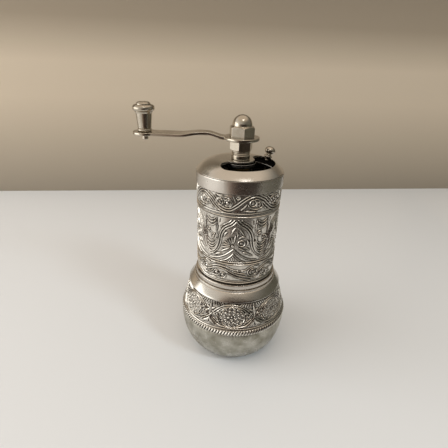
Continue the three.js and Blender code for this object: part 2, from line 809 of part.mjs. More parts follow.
function burrScrew(angle) {
  const headTop = jarHeight - seatGap;
  const headBottom = headTop - screwHeadHeight;
  const tip = bridgeBottom + screwGrip;
  const [x, y] = onCircle(burrScrewCircle, angle);
  const screw = revolve([
    [0, headBottom],
    [screwHeadRadius - pinChamfer, headBottom],
    [screwHeadRadius, headBottom + pinChamfer],
    [screwHeadRadius, headTop],
    [burrScrewRadius, headTop],
    [burrScrewRadius, tip - pinChamfer],
    [burrScrewRadius - pinChamfer, tip],
    [0, tip],
  ], coarse);
  const slot = block(4 * screwHeadRadius, screwSlot, headBottom - past, headBottom + screwSlotDepth);
  return cut(screw, slot).translate(x, y, 0);
}

// Helix as a curve, for the spring's wire.
class Helix extends THREE.Curve {
  constructor(radius, bottom, top, turns) {
    super();
    Object.assign(this, { radius, bottom, top, turns });
  }

  getPoint(share, target = new THREE.Vector3()) {
    const angle = TURN * this.turns * share;
    const height = this.bottom + (this.top - this.bottom) * share;
    return target.set(this.radius * Math.cos(angle), this.radius * Math.sin(angle), height);
  }
}

function springWasherBottom() {
  return bridgeHubBottom - seatGap - springWasherSheet;
}

function burrSpring() {
  const inset = springWire / 2 + seatGap;
  const path = new Helix(springRadius, coneTop + inset, springWasherBottom() - inset, springTurns);
  const wire = new THREE.Shape();
  wire.absarc(0, 0, springWire / 2, 0, TURN, false);
  return new THREE.ExtrudeGeometry(wire, {
    steps: springFacets * springTurns,
    curveSegments: 3,
    extrudePath: path,
  });
}

function springWasher() {
  return washer(shaftRadius + runGap, springWasherRadius, springWasherBottom(), springWasherSheet);
}

// Finger nut with a scalloped edge, and a boss that carries the cone.
function adjustingNut() {
  const bossBottom = adjusterTop - adjusterBossHeight;
  const edge = new THREE.Shape();
  const steps = adjusterLobes * 6;
  for (let i = 0; i < steps; i += 1) {
    const angle = TURN * i / steps;
    const radius = adjusterRadius - adjusterScallop * (0.5 - 0.5 * Math.cos(angle * adjusterLobes)) ** 2;
    const point = [radius * Math.cos(angle), radius * Math.sin(angle)];
    if (i === 0) edge.moveTo(...point);
    else edge.lineTo(...point);
  }
  const body = plate(edge, adjusterBottom, bossBottom, 1);
  const boss = disc(adjusterBossRadius, bossBottom - sunk, adjusterTop);
  return cut(join(body, boss), disc(shaftRadius + runGap, adjusterBottom - past, adjusterTop + past, medium));
}

const mill = new THREE.Group();

function add(name, geometry, finish) {
  const mesh = new THREE.Mesh(closed(geometry), new THREE.MeshStandardMaterial(finishes[finish]));
  mesh.name = name;
  mill.add(mesh);
}

add('jar_bowl', jarBowl(), 'embossed');
add('spigot_ring', spigotRing(), 'polished');
add('body_shell', bodyShell(), 'embossed');
add('cap', cap(), 'satin');
add('cap_bush', capBush(), 'brass');
add('shutter_plate', shutterPlate(), 'steel');
add('shutter_pin', shutterPin(), 'polished');
add('shutter_washer', shutterWasher(), 'steel');
add('shutter_clip', shutterClip(), 'steel');
add('shaft', shaft(), 'steel');
add('drive_nut', driveNut(), 'polished');
add('crank_arm', crankArm(), 'polished');
add('acorn_nut', acornNut(), 'polished');
add('knob_pin', knobPin(), 'polished');
add('knob_grip', knobGrip(), 'polished');
add('shaft_bridge', shaftBridge(), 'iron');
add('bridge_bush', bridgeBush(), 'brass');
add('outer_burr', outerBurr(), 'iron');
add('inner_burr', innerBurr(), 'iron');
add('burr_spring', burrSpring(), 'steel');
add('spring_washer', springWasher(), 'steel');
add('adjusting_nut', adjustingNut(), 'brass');
screwPlaces().forEach((angle, i) => add(`burr_screw_${i + 1}`, burrScrew(angle), 'steel'));

export default mill;
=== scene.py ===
"""Looks of a hand-cranked spice mill of plated metal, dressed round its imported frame.

Sizes are written in millimetres and meshes are scaled to metres as they are made. The
axes are the frame's: +Z up, origin on the mill's axis under the jar, crank towards -X.
"""

import json
import logging
import math
from collections.abc import Callable, Sequence
from dataclasses import dataclass
from enum import Enum

import bmesh
import bpy
import numpy as np
from mathutils import Matrix, Vector

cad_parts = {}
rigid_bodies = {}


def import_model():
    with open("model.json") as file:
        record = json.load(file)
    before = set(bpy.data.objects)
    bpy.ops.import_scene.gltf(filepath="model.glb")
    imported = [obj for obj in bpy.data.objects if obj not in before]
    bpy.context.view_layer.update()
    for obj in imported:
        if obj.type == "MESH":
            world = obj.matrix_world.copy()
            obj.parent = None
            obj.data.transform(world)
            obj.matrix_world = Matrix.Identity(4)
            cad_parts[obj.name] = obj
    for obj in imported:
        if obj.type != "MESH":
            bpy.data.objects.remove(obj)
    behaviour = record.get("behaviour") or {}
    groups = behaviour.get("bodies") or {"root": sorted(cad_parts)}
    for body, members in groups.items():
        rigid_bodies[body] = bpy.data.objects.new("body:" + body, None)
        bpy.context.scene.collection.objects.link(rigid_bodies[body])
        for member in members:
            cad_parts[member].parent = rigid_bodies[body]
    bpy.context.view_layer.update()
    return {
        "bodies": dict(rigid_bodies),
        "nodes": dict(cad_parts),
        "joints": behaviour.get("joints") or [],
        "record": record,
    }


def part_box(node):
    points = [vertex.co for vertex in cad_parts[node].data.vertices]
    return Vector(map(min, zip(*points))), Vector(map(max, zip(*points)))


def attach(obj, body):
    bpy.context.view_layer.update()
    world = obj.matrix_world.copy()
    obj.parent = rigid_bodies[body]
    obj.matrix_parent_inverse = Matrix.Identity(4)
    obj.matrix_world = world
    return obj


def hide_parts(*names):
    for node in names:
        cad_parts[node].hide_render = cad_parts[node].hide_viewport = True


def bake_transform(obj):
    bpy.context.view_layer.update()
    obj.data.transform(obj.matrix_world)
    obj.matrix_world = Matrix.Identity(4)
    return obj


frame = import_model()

log = logging.getLogger("spice_mill")

MM = 0.001
TURN = 2 * math.pi

Array = np.ndarray
Thing = bpy.types.Object
Socket = bpy.types.NodeSocket
Point = tuple[float, float]
Line = Sequence[Point]
Colour = tuple[float, float, float]
Limit = Callable[[Array, Array], Array]


class Slot(Enum):
    """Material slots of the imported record."""

    EMBOSSED = "embossed_plate"
    SATIN = "satin_plate"
    POLISHED = "polished_plate"
    STEEL = "steel"
    IRON = "burr_iron"
    BRASS = "brass"


class Body(Enum):
    """Bodies of the frame that pieces ride on."""

    JAR = "jar"
    MILL = "mill"
    SHUTTER = "shutter"
    CRANK = "crank"
    KNOB = "knob"
    CONE = "cone"
    ADJUSTER = "adjuster"


class Grain(Enum):
    """Way in which a metal surface was worked."""

    CAST = "cast"
    TURNED = "turned"
    BRUSHED = "brushed"


@dataclass(frozen=True)
class Extent:
    """Half width and heights of a frame node, in millimetres."""

    radius: float
    bottom: float
    top: float


def extent(node: str) -> Extent:
    """Reads a node's half width along Y and its heights from the frame."""
    low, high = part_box(node)
    return Extent((high.y - low.y) / 2 / MM, low.z / MM, high.z / MM)


def polar(radius: float, angle: float) -> Point:
    """Returns the point at a radius and an angle in degrees."""
    return radius * math.cos(math.radians(angle)), radius * math.sin(math.radians(angle))


def arc(centre: Point, across: float, up: float, start: float, stop: float, steps: int) -> list[Point]:
    """Gives the ends of the chords of an elliptical arc between two angles in degrees."""
    angles = np.radians(np.linspace(start, stop, steps + 1))
    return [(centre[0] + across * math.cos(a), centre[1] + up * math.sin(a)) for a in angles]


def smooth_line(points: Line, steps: int = 8) -> list[Point]:
    """Draws a smooth curve through a few points.

    Args:
        points: Points that the curve passes, in order.
        steps: Chords between two of them.

    Returns:
        Points of the curve.
    """
    known = np.array(points, float)
    padded = np.vstack([2 * known[0] - known[1], known, 2 * known[-1] - known[-2]])
    line = []
    for a, b, c, d in zip(padded, padded[1:], padded[2:], padded[3:]):
        for t in np.arange(steps) / steps:
            bend = 2 * a - 5 * b + 4 * c - d
            twist = 3 * (b - c) + d - a
            line.append(tuple(b + 0.5 * t * (c - a + t * (bend + t * twist))))
    return [*line, tuple(known[-1])]


def rounded(corners: Sequence[Sequence[float]], closed: bool = True) -> list[Point]:
    """Rounds the corners of an outline.

    Args:
        corners: Points (x, y) or (x, y, radius of the corner).
        closed: Whether the last point joins the first.

    Returns:
        The outline with an arc at each corner that has a radius.
    """
    count = len(corners)
    line: list[Point] = []
    for i, corner in enumerate(corners):
        here = np.array(corner[:2], float)
        radius = corner[2] if len(corner) > 2 else 0
        if radius == 0 or (not closed and i in (0, count - 1)):
            line.append(tuple(here))
            continue
        back = np.array(corners[i - 1][:2]) - here
        ahead = np.array(corners[(i + 1) % count][:2]) - here
        lengths = np.hypot(*back), np.hypot(*ahead)
        back, ahead = back / lengths[0], ahead / lengths[1]
        half = math.acos(float(np.clip(back @ ahead, -1, 1))) / 2
        reach = min(radius / math.tan(half), 0.49 * min(lengths))
        first, last = here + back * reach, here + ahead * reach
        steps = max(2, math.ceil((math.pi - 2 * half) / math.radians(18)))
        for k in range(steps + 1):
            t = k / steps
            line.append(tuple((1 - t) ** 2 * first + 2 * t * (1 - t) * here + t ** 2 * last))
    return line


class Shape:
    """Surfaces that grow into one closed mesh, in millimetres."""

    def __init__(self) -> None:
        """Starts an empty shape."""
        self.points: list[Array] = []
        self.faces: list[list[int]] = []
        self.relief: list[Array] = []
        self.count = 0

    def add_points(self, points: Array) -> Array:
        """Adds points.

        Args:
            points: Their places, in rows and columns or in one row.

        Returns:
            Their numbers, in the same order.
        """
        flat = points.reshape(-1, 3)
        self.points.append(flat)
        self.relief.append(np.ones(len(flat)))
        numbers = np.arange(self.count, self.count + len(flat)).reshape(points.shape[:-1])
        self.count += len(flat)
        return numbers

    def patch(self, numbers: Array, wrap_rows: bool = False, wrap_columns: bool = False) -> None:
        """Spans quads over a grid of point numbers.

        Args:
            numbers: Rows and columns of point numbers.
            wrap_rows: Whether the last row joins the first.
            wrap_columns: Whether the last column joins the first.
        """
        if wrap_rows:
            numbers = np.vstack([numbers, numbers[:1]])
        if wrap_columns:
            numbers = np.hstack([numbers, numbers[:, :1]])
        quads = [numbers[:-1, :-1], numbers[:-1, 1:], numbers[1:, 1:], numbers[1:, :-1]]
        self.faces.extend(np.stack([q.ravel() for q in quads], 1).tolist())

    def fan(self, ring: Array, centre: Sequence[float], inwards: bool) -> None:
        """Closes a ring with triangles to one point.

        Args:
            ring: Point numbers of the ring.
            centre: The point.
            inwards: Whether the triangles wind from the ring to the point and back.
        """
        middle = int(self.add_points(np.array([centre], float))[0])
        for a, b in zip(ring.tolist(), np.roll(ring, -1).tolist()):
            self.faces.append([a, middle, b] if inwards else [a, b, middle])

    def grid(self, points: Array, wrap_rows: bool = False, wrap_columns: bool = False) -> Array:
        """Adds points in rows and columns with their quads, and returns the point numbers."""
        numbers = self.add_points(points)
        self.patch(numbers, wrap_rows, wrap_columns)
        return numbers

    def revolve(self, line: Line, columns: int = 96, centre: Point = (0.0, 0.0),
                limit: Limit | None = None, relief: Array | None = None,
                clean: Array | None = None) -> "Shape":
        """Turns an outline about an upright axis.

        Args:
            line: Radii and heights, closed on itself or ending on the axis.
            columns: Points round the axis.
            centre: Place of the axis.
            limit: Gives new radii from radii and angles, such as a hexagon's.
            relief: Heights to add to the radii, by row and column.
            clean: How open each point lies, by row and column; closed points get painted shade and grime.

        Returns:
            The shape itself.
        """
        outline = np.array(line, float)
        angles = TURN * np.arange(columns) / columns
        radii = np.repeat(outline[:, :1], columns, 1)
        if limit:
            radii = limit(radii, np.broadcast_to(angles, radii.shape))
        if relief is not None:
            radii = radii + relief
        heights = np.repeat(outline[:, 1:], columns, 1)
        x = centre[0] + radii * np.cos(angles)
        y = centre[1] + radii * np.sin(angles)
        points = np.stack([x, y, heights], -1)
        on_axis = outline[:, 0] < 1e-6
        body = points[~on_axis]
        numbers = self.grid(body, wrap_rows=not on_axis.any(), wrap_columns=True)
        if clean is not None:
            self.relief[0] = clean[~on_axis].reshape(-1)
        if on_axis[0]:
            self.fan(numbers[0], (*centre, outline[0, 1]), inwards=True)
        if on_axis[-1]:
            self.fan(numbers[-1], (*centre, outline[-1, 1]), inwards=False)
        return self

    def to_object(self, name: str, merge: bool = False) -> Thing:
        """Makes the mesh object, in metres, with its faces turned outwards.

        Args:
            name: Name of the object.
            merge: Whether equal points are joined.

        Returns:
            The object, linked to the scene.
        """
        mesh = bpy.data.meshes.new(name)
        points = np.vstack(self.points) * MM
        mesh.from_pydata(points.tolist(), [], self.faces)
        # The relief attribute holds how open each point lies; the material paints shade and grime into the
        # closed points.
        depth = mesh.attributes.new("relief", "FLOAT", "POINT")
        depth.data.foreach_set("value", np.concatenate(self.relief).astype(np.float32))
        edit = bmesh.new()
        edit.from_mesh(mesh)
        if merge:
            bmesh.ops.remove_doubles(edit, verts=edit.verts, dist=1e-4 * MM)
        if edit.calc_volume(signed=True) < 0:
            bmesh.ops.reverse_faces(edit, faces=edit.faces)
        edit.to_mesh(mesh)
        edit.free()
        thing = bpy.data.objects.new(name, mesh)
        bpy.context.scene.collection.objects.link(thing)
        return thing


def hexagon(flats: float, corner: float, softness: float = 0.12) -> Limit:
    """Limits radii to a hexagon with slightly rounded edges.

    Args:
        flats: Width across the flats.
        corner: Direction of one corner in degrees.
        softness: How wide the rounded edges are.

    Returns:
        A function of radii and angles for Shape.revolve.
    """
    def limited(radii: Array, angles: Array) -> Array:
        """Softly takes the smaller of the radius and the hexagon."""
        sector = np.mod(angles - math.radians(corner), TURN / 6) - TURN / 12
        flat = flats / 2 / np.cos(sector)
        return soft_min(radii, flat, softness)
    return limited


def soft_min(a: Array, b: Array, softness: float) -> Array:
    """The smaller of two values, rounded over where they are close."""
    gap = np.maximum(softness - np.abs(a - b), 0) / softness
    return np.minimum(a, b) - gap * gap * softness / 4


def shaded(thing: Thing, sharp: float = 40, bevel: float = 0,
           segments: int = 3) -> Thing:
    """Shades a mesh smooth, with worn edges where faces meet at an angle.

    Args:
        thing: Object to shade.
        sharp: Angle in degrees from which an edge stays sharp or is bevelled.
        bevel: Width of the rounded edges in millimetres, or 0 for none.
        segments: Faces across a rounded edge.

    Returns:
        The same object.
    """
    thing.data.shade_smooth()
    if bevel:
        edge = thing.modifiers.new("worn_edges", "BEVEL")
        edge.width = bevel * MM
        edge.segments = segments
        edge.limit_method = "ANGLE"
        edge.angle_limit = math.radians(sharp)
    else:
        thing.data.set_sharp_from_angle(angle=math.radians(sharp))
    normals = thing.modifiers.new("face_normals", "WEIGHTED_NORMAL")
    normals.keep_sharp = True
    return thing


def combine(base: Thing, other: Thing, operation: str = "DIFFERENCE") -> Thing:
    """Joins or cuts one mesh with another, which is used up.

    Args:
        base: Object that keeps its name.
        other: Tool object.
        operation: DIFFERENCE or UNION.

    Returns:
        The base with its new mesh.
    """
    step = base.modifiers.new("combine", "BOOLEAN")
    step.operation = operation
    step.solver = "EXACT"
    step.object = other
    graph = bpy.context.evaluated_depsgraph_get()
    made = bpy.data.meshes.new_from_object(base.evaluated_get(graph))
    base.modifiers.clear()
    base.data = made
    bpy.data.objects.remove(other)
    return base


def rod(name: str, radius: float, bottom: float, top: float, columns: int = 48,
        centre: Point = (0.0, 0.0)) -> Thing:
    """Makes a plain round rod, mostly as a cutting tool."""
    line = [(0, bottom), (radius, bottom), (radius, top), (0, top)]
    return Shape().revolve(line, columns, centre).to_object(name)


def bar(name: str, low: Sequence[float], high: Sequence[float], angle: float = 0) -> Thing:
    """Makes a straight bar.

    Args:
        name: Name of the object.
        low: Its lowest corner.
        high: Its highest corner.
        angle: Turn about Z in degrees.

    Returns:
        The object.
    """
    turn = math.radians(angle)
    corners = [
        (x * math.cos(turn) - y * math.sin(turn), x * math.sin(turn) + y * math.cos(turn), z)
        for z in (low[2], high[2])
        for x, y in ((low[0], low[1]), (high[0], low[1]), (high[0], high[1]), (low[0], high[1]))
    ]
    shape = Shape()
    shape.grid(np.array(corners, float).reshape(2, 4, 3), wrap_columns=True)
    shape.faces += [[3, 2, 1, 0], [4, 5, 6, 7]]
    return shape.to_object(name)


def hoop(node: str, bore: float, radius: float, edge: float) -> list[Point]:
    """Draws a washer's section, as high as a frame node, with an edge radius outside."""
    size = extent(node)
    return rounded([(bore, size.bottom, 0.08), (radius, size.bottom, edge), (radius, size.top, edge),
                    (bore, size.top, 0.08)])


class Section(Enum):
    """Cross-sections that a raised line can have."""

    RIDGE = "ridge"
    LEAF = "leaf"
    SWELL = "swell"
    GROOVE = "groove"


@dataclass
class Relief:
    """Height field of an ornament that repeats along one direction.

    Lines are drawn in millimetres: s along the tile from its middle, and z up. Each is
    drawn again one tile further on both sides, so that motifs cross the seams.

    Attributes:
        width: Length of one repeat.
        columns: Points along it.
        heights: Heights of the rows.
        depth: Height of a full ridge.
        blur: Reach of the ground that a point is compared with.
        cavity_range: How far below that ground a point counts as closed.
    """

    width: float
    columns: int
    heights: Array
    depth: float
    blur: float = 0.36
    cavity_range: float = 0.13

    def __post_init__(self) -> None:
        """Starts an empty field."""
        self.side = self.width / 2
        self.s = (np.arange(self.columns) + 0.5) / self.columns * self.width - self.side
        self.lines = np.zeros((len(self.heights), self.columns))
        self.swells = np.zeros_like(self.lines)
        self.grooves = np.zeros_like(self.lines)

    def total(self) -> Array:
        """Returns the raised lines on the broad swells under them, less the grooves."""
        return self.lines + self.swells - self.grooves

    def clean(self) -> Array:
        """Compares each point with the ground about it.

        Returns:
            How open each point lies: 0 in a narrow gap, 0.5 on flat ground. Closed points get painted shade
                and grime in the material.
        """
        total = self.total()
        step = abs(self.s[1] - self.s[0])
        reach = math.ceil(2 * self.blur / step)
        weights = np.exp(-0.5 * (np.arange(-reach, reach + 1) * step / self.blur) ** 2)
        weights /= weights.sum()
        across = sum(w * np.roll(total, k - reach, axis=1) for k, w in enumerate(weights))
        padded = np.pad(across, ((reach, reach), (0, 0)), mode="edge")
        smooth = sum(w * padded[k:k + len(total)] for k, w in enumerate(weights))
        return np.clip(0.5 + (total - smooth) / self.cavity_range, 0, 1)

    def stroke(self, line: Line, width: float, share: float = 1.0,
               section: Section = Section.RIDGE, mirror: bool = False) -> None:
        """Raises a line.

        Args:
            line: Points of the line's crest.
            width: Its full width.
            share: Height of its crest as a share of the depth.
            section: Its cross-section; a leaf's ends are pointed.
            mirror: Whether the other side gets one too.
        """
        drawn = np.array(line, float)
        for side in [drawn, drawn * [-1, 1]] if mirror else [drawn]:
            for shift in (-self.width, 0, self.width):
                self.raise_one(side + [shift, 0], width / 2, share * self.depth, section)

    def raise_one(self, line: Array, half: float, height: float, section: Section) -> None:
        """Raises one copy of a line where it crosses the tile.

        Args:
            line: Points of the line's crest.
            half: Half of its width.
            height: Height of its crest.
            section: Its cross-section.
        """
        low, high = line.min(0) - half, line.max(0) + half
        columns = np.flatnonzero((self.s >= low[0]) & (self.s <= high[0]))
        rows = np.flatnonzero((self.heights >= low[1]) & (self.heights <= high[1]))
        if not len(columns) or not len(rows):
            return
        s, z = np.meshgrid(self.s[columns], self.heights[rows])
        nearest = np.ones(s.shape)
        for i, ((s0, z0), (s1, z1)) in enumerate(zip(line, line[1:])):
            along, up = s1 - s0, z1 - z0
            share = ((s - s0) * along + (z - z0) * up) / max(along * along + up * up, 1e-12)
            share = np.clip(share, 0, 1)
            away = np.hypot(s - s0 - share * along, z - z0 - share * up) / half
            if section is Section.LEAF:
                place = (i + share) / (len(line) - 1)
                away = away / np.maximum(np.sin(math.pi * place) ** 0.7, 0.05)
            nearest = np.minimum(nearest, away)
        if section is Section.LEAF:
            crest = (1 - nearest ** 2) ** 0.7 * height
        else:
            crest = (0.5 + 0.5 * np.cos(math.pi * nearest)) * height
        target = {Section.SWELL: self.swells, Section.GROOVE: self.grooves}.get(section, self.lines)
        part = np.ix_(rows, columns)
        target[part] = np.maximum(target[part], crest)

    def leaf(self, line: Line, width: float, share: float = 1.0, mirror: bool = False) -> None:
        """Raises a line with pointed ends."""
        self.stroke(line, width, share, Section.LEAF, mirror)

    def parallel(self, line: Line, offsets: Sequence[float], width: float,
                 mirror: bool = False) -> None:
        """Raises ridges side by side.

        Args:
            line: Line that they follow.
            offsets: Distances of the ridges to the left of the line.
            width: Width of a ridge.
            mirror: Whether the other side gets them too.
        """
        middle = np.array(line, float)
        along = np.gradient(middle, axis=0)
        aside = np.column_stack([-along[:, 1], along[:, 0]]) / np.hypot(*along.T)[:, None]
        for offset in offsets:
            self.stroke(middle + offset * aside, width, mirror=mirror)

    def boss(self, place: Point, radius: float, share: float = 1.0, mirror: bool = False) -> None:
        """Raises a round bead."""
        self.stroke([place, (place[0] + 1e-3, place[1])], 2 * radius, share, mirror=mirror)

    def ring(self, place: Point, across: float, up: float, width: float) -> None:
        """Raises a round or oval ridge about a point."""
        self.stroke(arc(place, across, up, 0, 360, 24), width)

    def curl(self, place: Point, radius: float, start: float, turns: float, width: float,
             share: float = 1.0, mirror: bool = False) -> None:
        """Raises a spiral ridge that winds in to a bead.

        Args:
            place: Middle of the spiral.
            radius: Its outer radius.
            start: Direction of its outer end in degrees.
            turns: Turns to the middle, negative for clockwise.
            width: Width of the ridge.
            share: Height of the ridge as a share of the depth.
            mirror: Whether the other side gets one too.
        """
        inward = np.linspace(0, 1, max(8, int(abs(turns) * 16)))
        angles = np.radians(start) + TURN * turns * inward
        radii = radius * (1 - 0.72 * inward)
        line = [(place[0] + r * math.cos(a), place[1] + r * math.sin(a)) for r, a in zip(radii, angles)]
        self.stroke(line, width, share, mirror=mirror)
        self.boss(place, 0.34 * radius, share, mirror)

    def rosettes(self, places: Line, radius: float) -> None:
        """Raises beads, each between two deep eyes and within a thin ring.

        Args:
            places: Middles of the beads.
            radius: Radius of the ring.
        """
        for place in places:
            self.ring(place, radius, radius, 0.3 * radius)
            self.boss(place, 0.36 * radius)
            for side in (-1, 1):
                eye = arc(place, 0.6 * side * radius, 0.6 * radius, -50, 50, 8)
                self.stroke(eye, 0.35 * radius, 0.6, Section.GROOVE)

    def round_about(self, heights: Array, repeats: int) -> Array:
        """Repeats a tile's values round the axis, with the middle of one tile at the front."""
        shift = round(-self.columns * repeats / 4) - self.columns // 2
        return np.roll(np.tile(heights, repeats), shift, axis=1)


@dataclass(frozen=True)
class Finish:
    """Look of one metal surface.

    Colour and roughness are those of the bare metal, and the roughness wanders by the
    spread. Lines are the depth of the tool marks, waves and wave_size the depth and the
    breadth of the broad unevenness, in millimetres. grime_and_shade is the colour painted
    into the recesses, partly tarnish and partly painted shade, and grime_and_shade_depth
    the share of the relief that has it. Tarnish darkens patches, anisotropy stretches the
    highlights, and edge tints the reflection at a flat angle.
    """

    name: str
    slot: Slot
    colour: Colour
    roughness: float
    spread: float
    grain: Grain
    lines: float = 0.0006
    waves: float = 0.004
    wave_size: float = 3.0
    grime_and_shade: Colour = (0.10, 0.085, 0.07)
    grime_and_shade_depth: float = 0.0
    tarnish: float = 0.08
    anisotropy: float = 0.0
    edge: Colour = (1.0, 1.0, 1.0)


# The embossed plate's recesses are painted dark: partly tarnish, partly painted shade between the ridges.
EMBOSSED = Finish("embossed_plate", Slot.EMBOSSED, (0.77, 0.735, 0.67), 0.17, 0.06, Grain.CAST, lines=0.0015,
                  waves=0.014, wave_size=0.9, grime_and_shade=(0.055, 0.048, 0.04), grime_and_shade_depth=0.56)
COLLAR = Finish("collar_plate", Slot.EMBOSSED, (0.58, 0.55, 0.5), 0.2, 0.05, Grain.TURNED, lines=0.001,
                waves=0.012, wave_size=1.0)
BOWL = Finish("bowl_plate", Slot.EMBOSSED, (0.52, 0.505, 0.45), 0.30, 0.16, Grain.CAST, lines=0.003,
              waves=0.05, wave_size=4.5, tarnish=0.45)
SATIN = Finish("satin_plate", Slot.SATIN, (0.59, 0.56, 0.51), 0.23, 0.02, Grain.BRUSHED, lines=0.0003,
               waves=0.001, wave_size=6, tarnish=0.04, anisotropy=0.35)
POLISHED = Finish("polished_plate", Slot.POLISHED, (0.52, 0.47, 0.395), 0.20, 0.07, Grain.TURNED,
                  lines=0.0008, wave_size=2.2, tarnish=0.15)
BAND = Finish("band_plate", Slot.POLISHED, (0.61, 0.57, 0.52), 0.24, 0.05, Grain.BRUSHED, lines=0.001,
              waves=0.02, wave_size=1.3, anisotropy=0.2)
STEEL = Finish("steel", Slot.STEEL, (0.42, 0.41, 0.395), 0.28, 0.08, Grain.TURNED, lines=0.001, waves=0.003)
# The shutter sheet is painted near black and reflects little: painted shade inside the slot.
SHEET_IN_PAINTED_SHADE = Finish("shutter_sheet", Slot.STEEL, (0.010, 0.0095, 0.009), 0.55, 0.1, Grain.TURNED, lines=0.001,
               waves=0.003, edge=(0.1, 0.1, 0.1))
IRON = Finish("burr_iron", Slot.IRON, (0.10, 0.097, 0.093), 0.5, 0.12, Grain.CAST, lines=0.006, waves=0.01,
              wave_size=1.2)
BRASS = Finish("brass", Slot.BRASS, (0.60, 0.42, 0.17), 0.3, 0.08, Grain.TURNED, lines=0.001, waves=0.003)


class Nodes:
    """Adds nodes to a node tree."""

    def __init__(self, tree: bpy.types.NodeTree) -> None:
        """Takes the tree that grows."""
        self.tree = tree

    def node(self, kind: str, inputs: dict | None = None, **values: object) -> bpy.types.Node:
        """Adds a node.

        Args:
            kind: Type of the node.
            inputs: What its sockets get by name or number: a value, or another socket.
            values: Its own properties.

        Returns:
            The node.
        """
        made = self.tree.nodes.new(kind)
        for name, value in values.items():
            setattr(made, name, value)
        for name, source in (inputs or {}).items():
            if isinstance(source, Socket):
                self.link(source, made.inputs[name])
            else:
                made.inputs[name].default_value = source
        return made

    def link(self, source: Socket, target: Socket) -> None:
        """Joins two sockets."""
        self.tree.links.new(source, target)

    def ranged(self, value: Socket, low: float, high: float, to_low: float = 0,
               to_high: float = 1) -> Socket:
        """Maps a value from the range low to high to the range to_low to to_high, clamped."""
        ends = {"From Min": low, "From Max": high, "To Min": to_low, "To Max": to_high}
        return self.node("ShaderNodeMapRange", {"Value": value, **ends}).outputs["Result"]

    def added(self, first: Socket, second: Socket) -> Socket:
        """Adds two values."""
        return self.node("ShaderNodeMath", {0: first, 1: second}, operation="ADD").outputs[0]

    def mixed(self, share: Socket, first: Sequence[float] | Socket,
              second: Sequence[float]) -> Socket:
        """Mixes a share of the second colour into the first, which may be a socket."""
        ends = {"A": first if isinstance(first, Socket) else (*first, 1), "B": (*second, 1)}
        return self.node("ShaderNodeMix", {"Factor": share, **ends}, data_type="RGBA").outputs["Result"]

    def parts(self, space: str) -> bpy.types.Node:
        """Adds a node that splits the coordinates of a space."""
        place = self.node("ShaderNodeTexCoord").outputs[space]
        return self.node("ShaderNodeSeparateXYZ", {0: place})


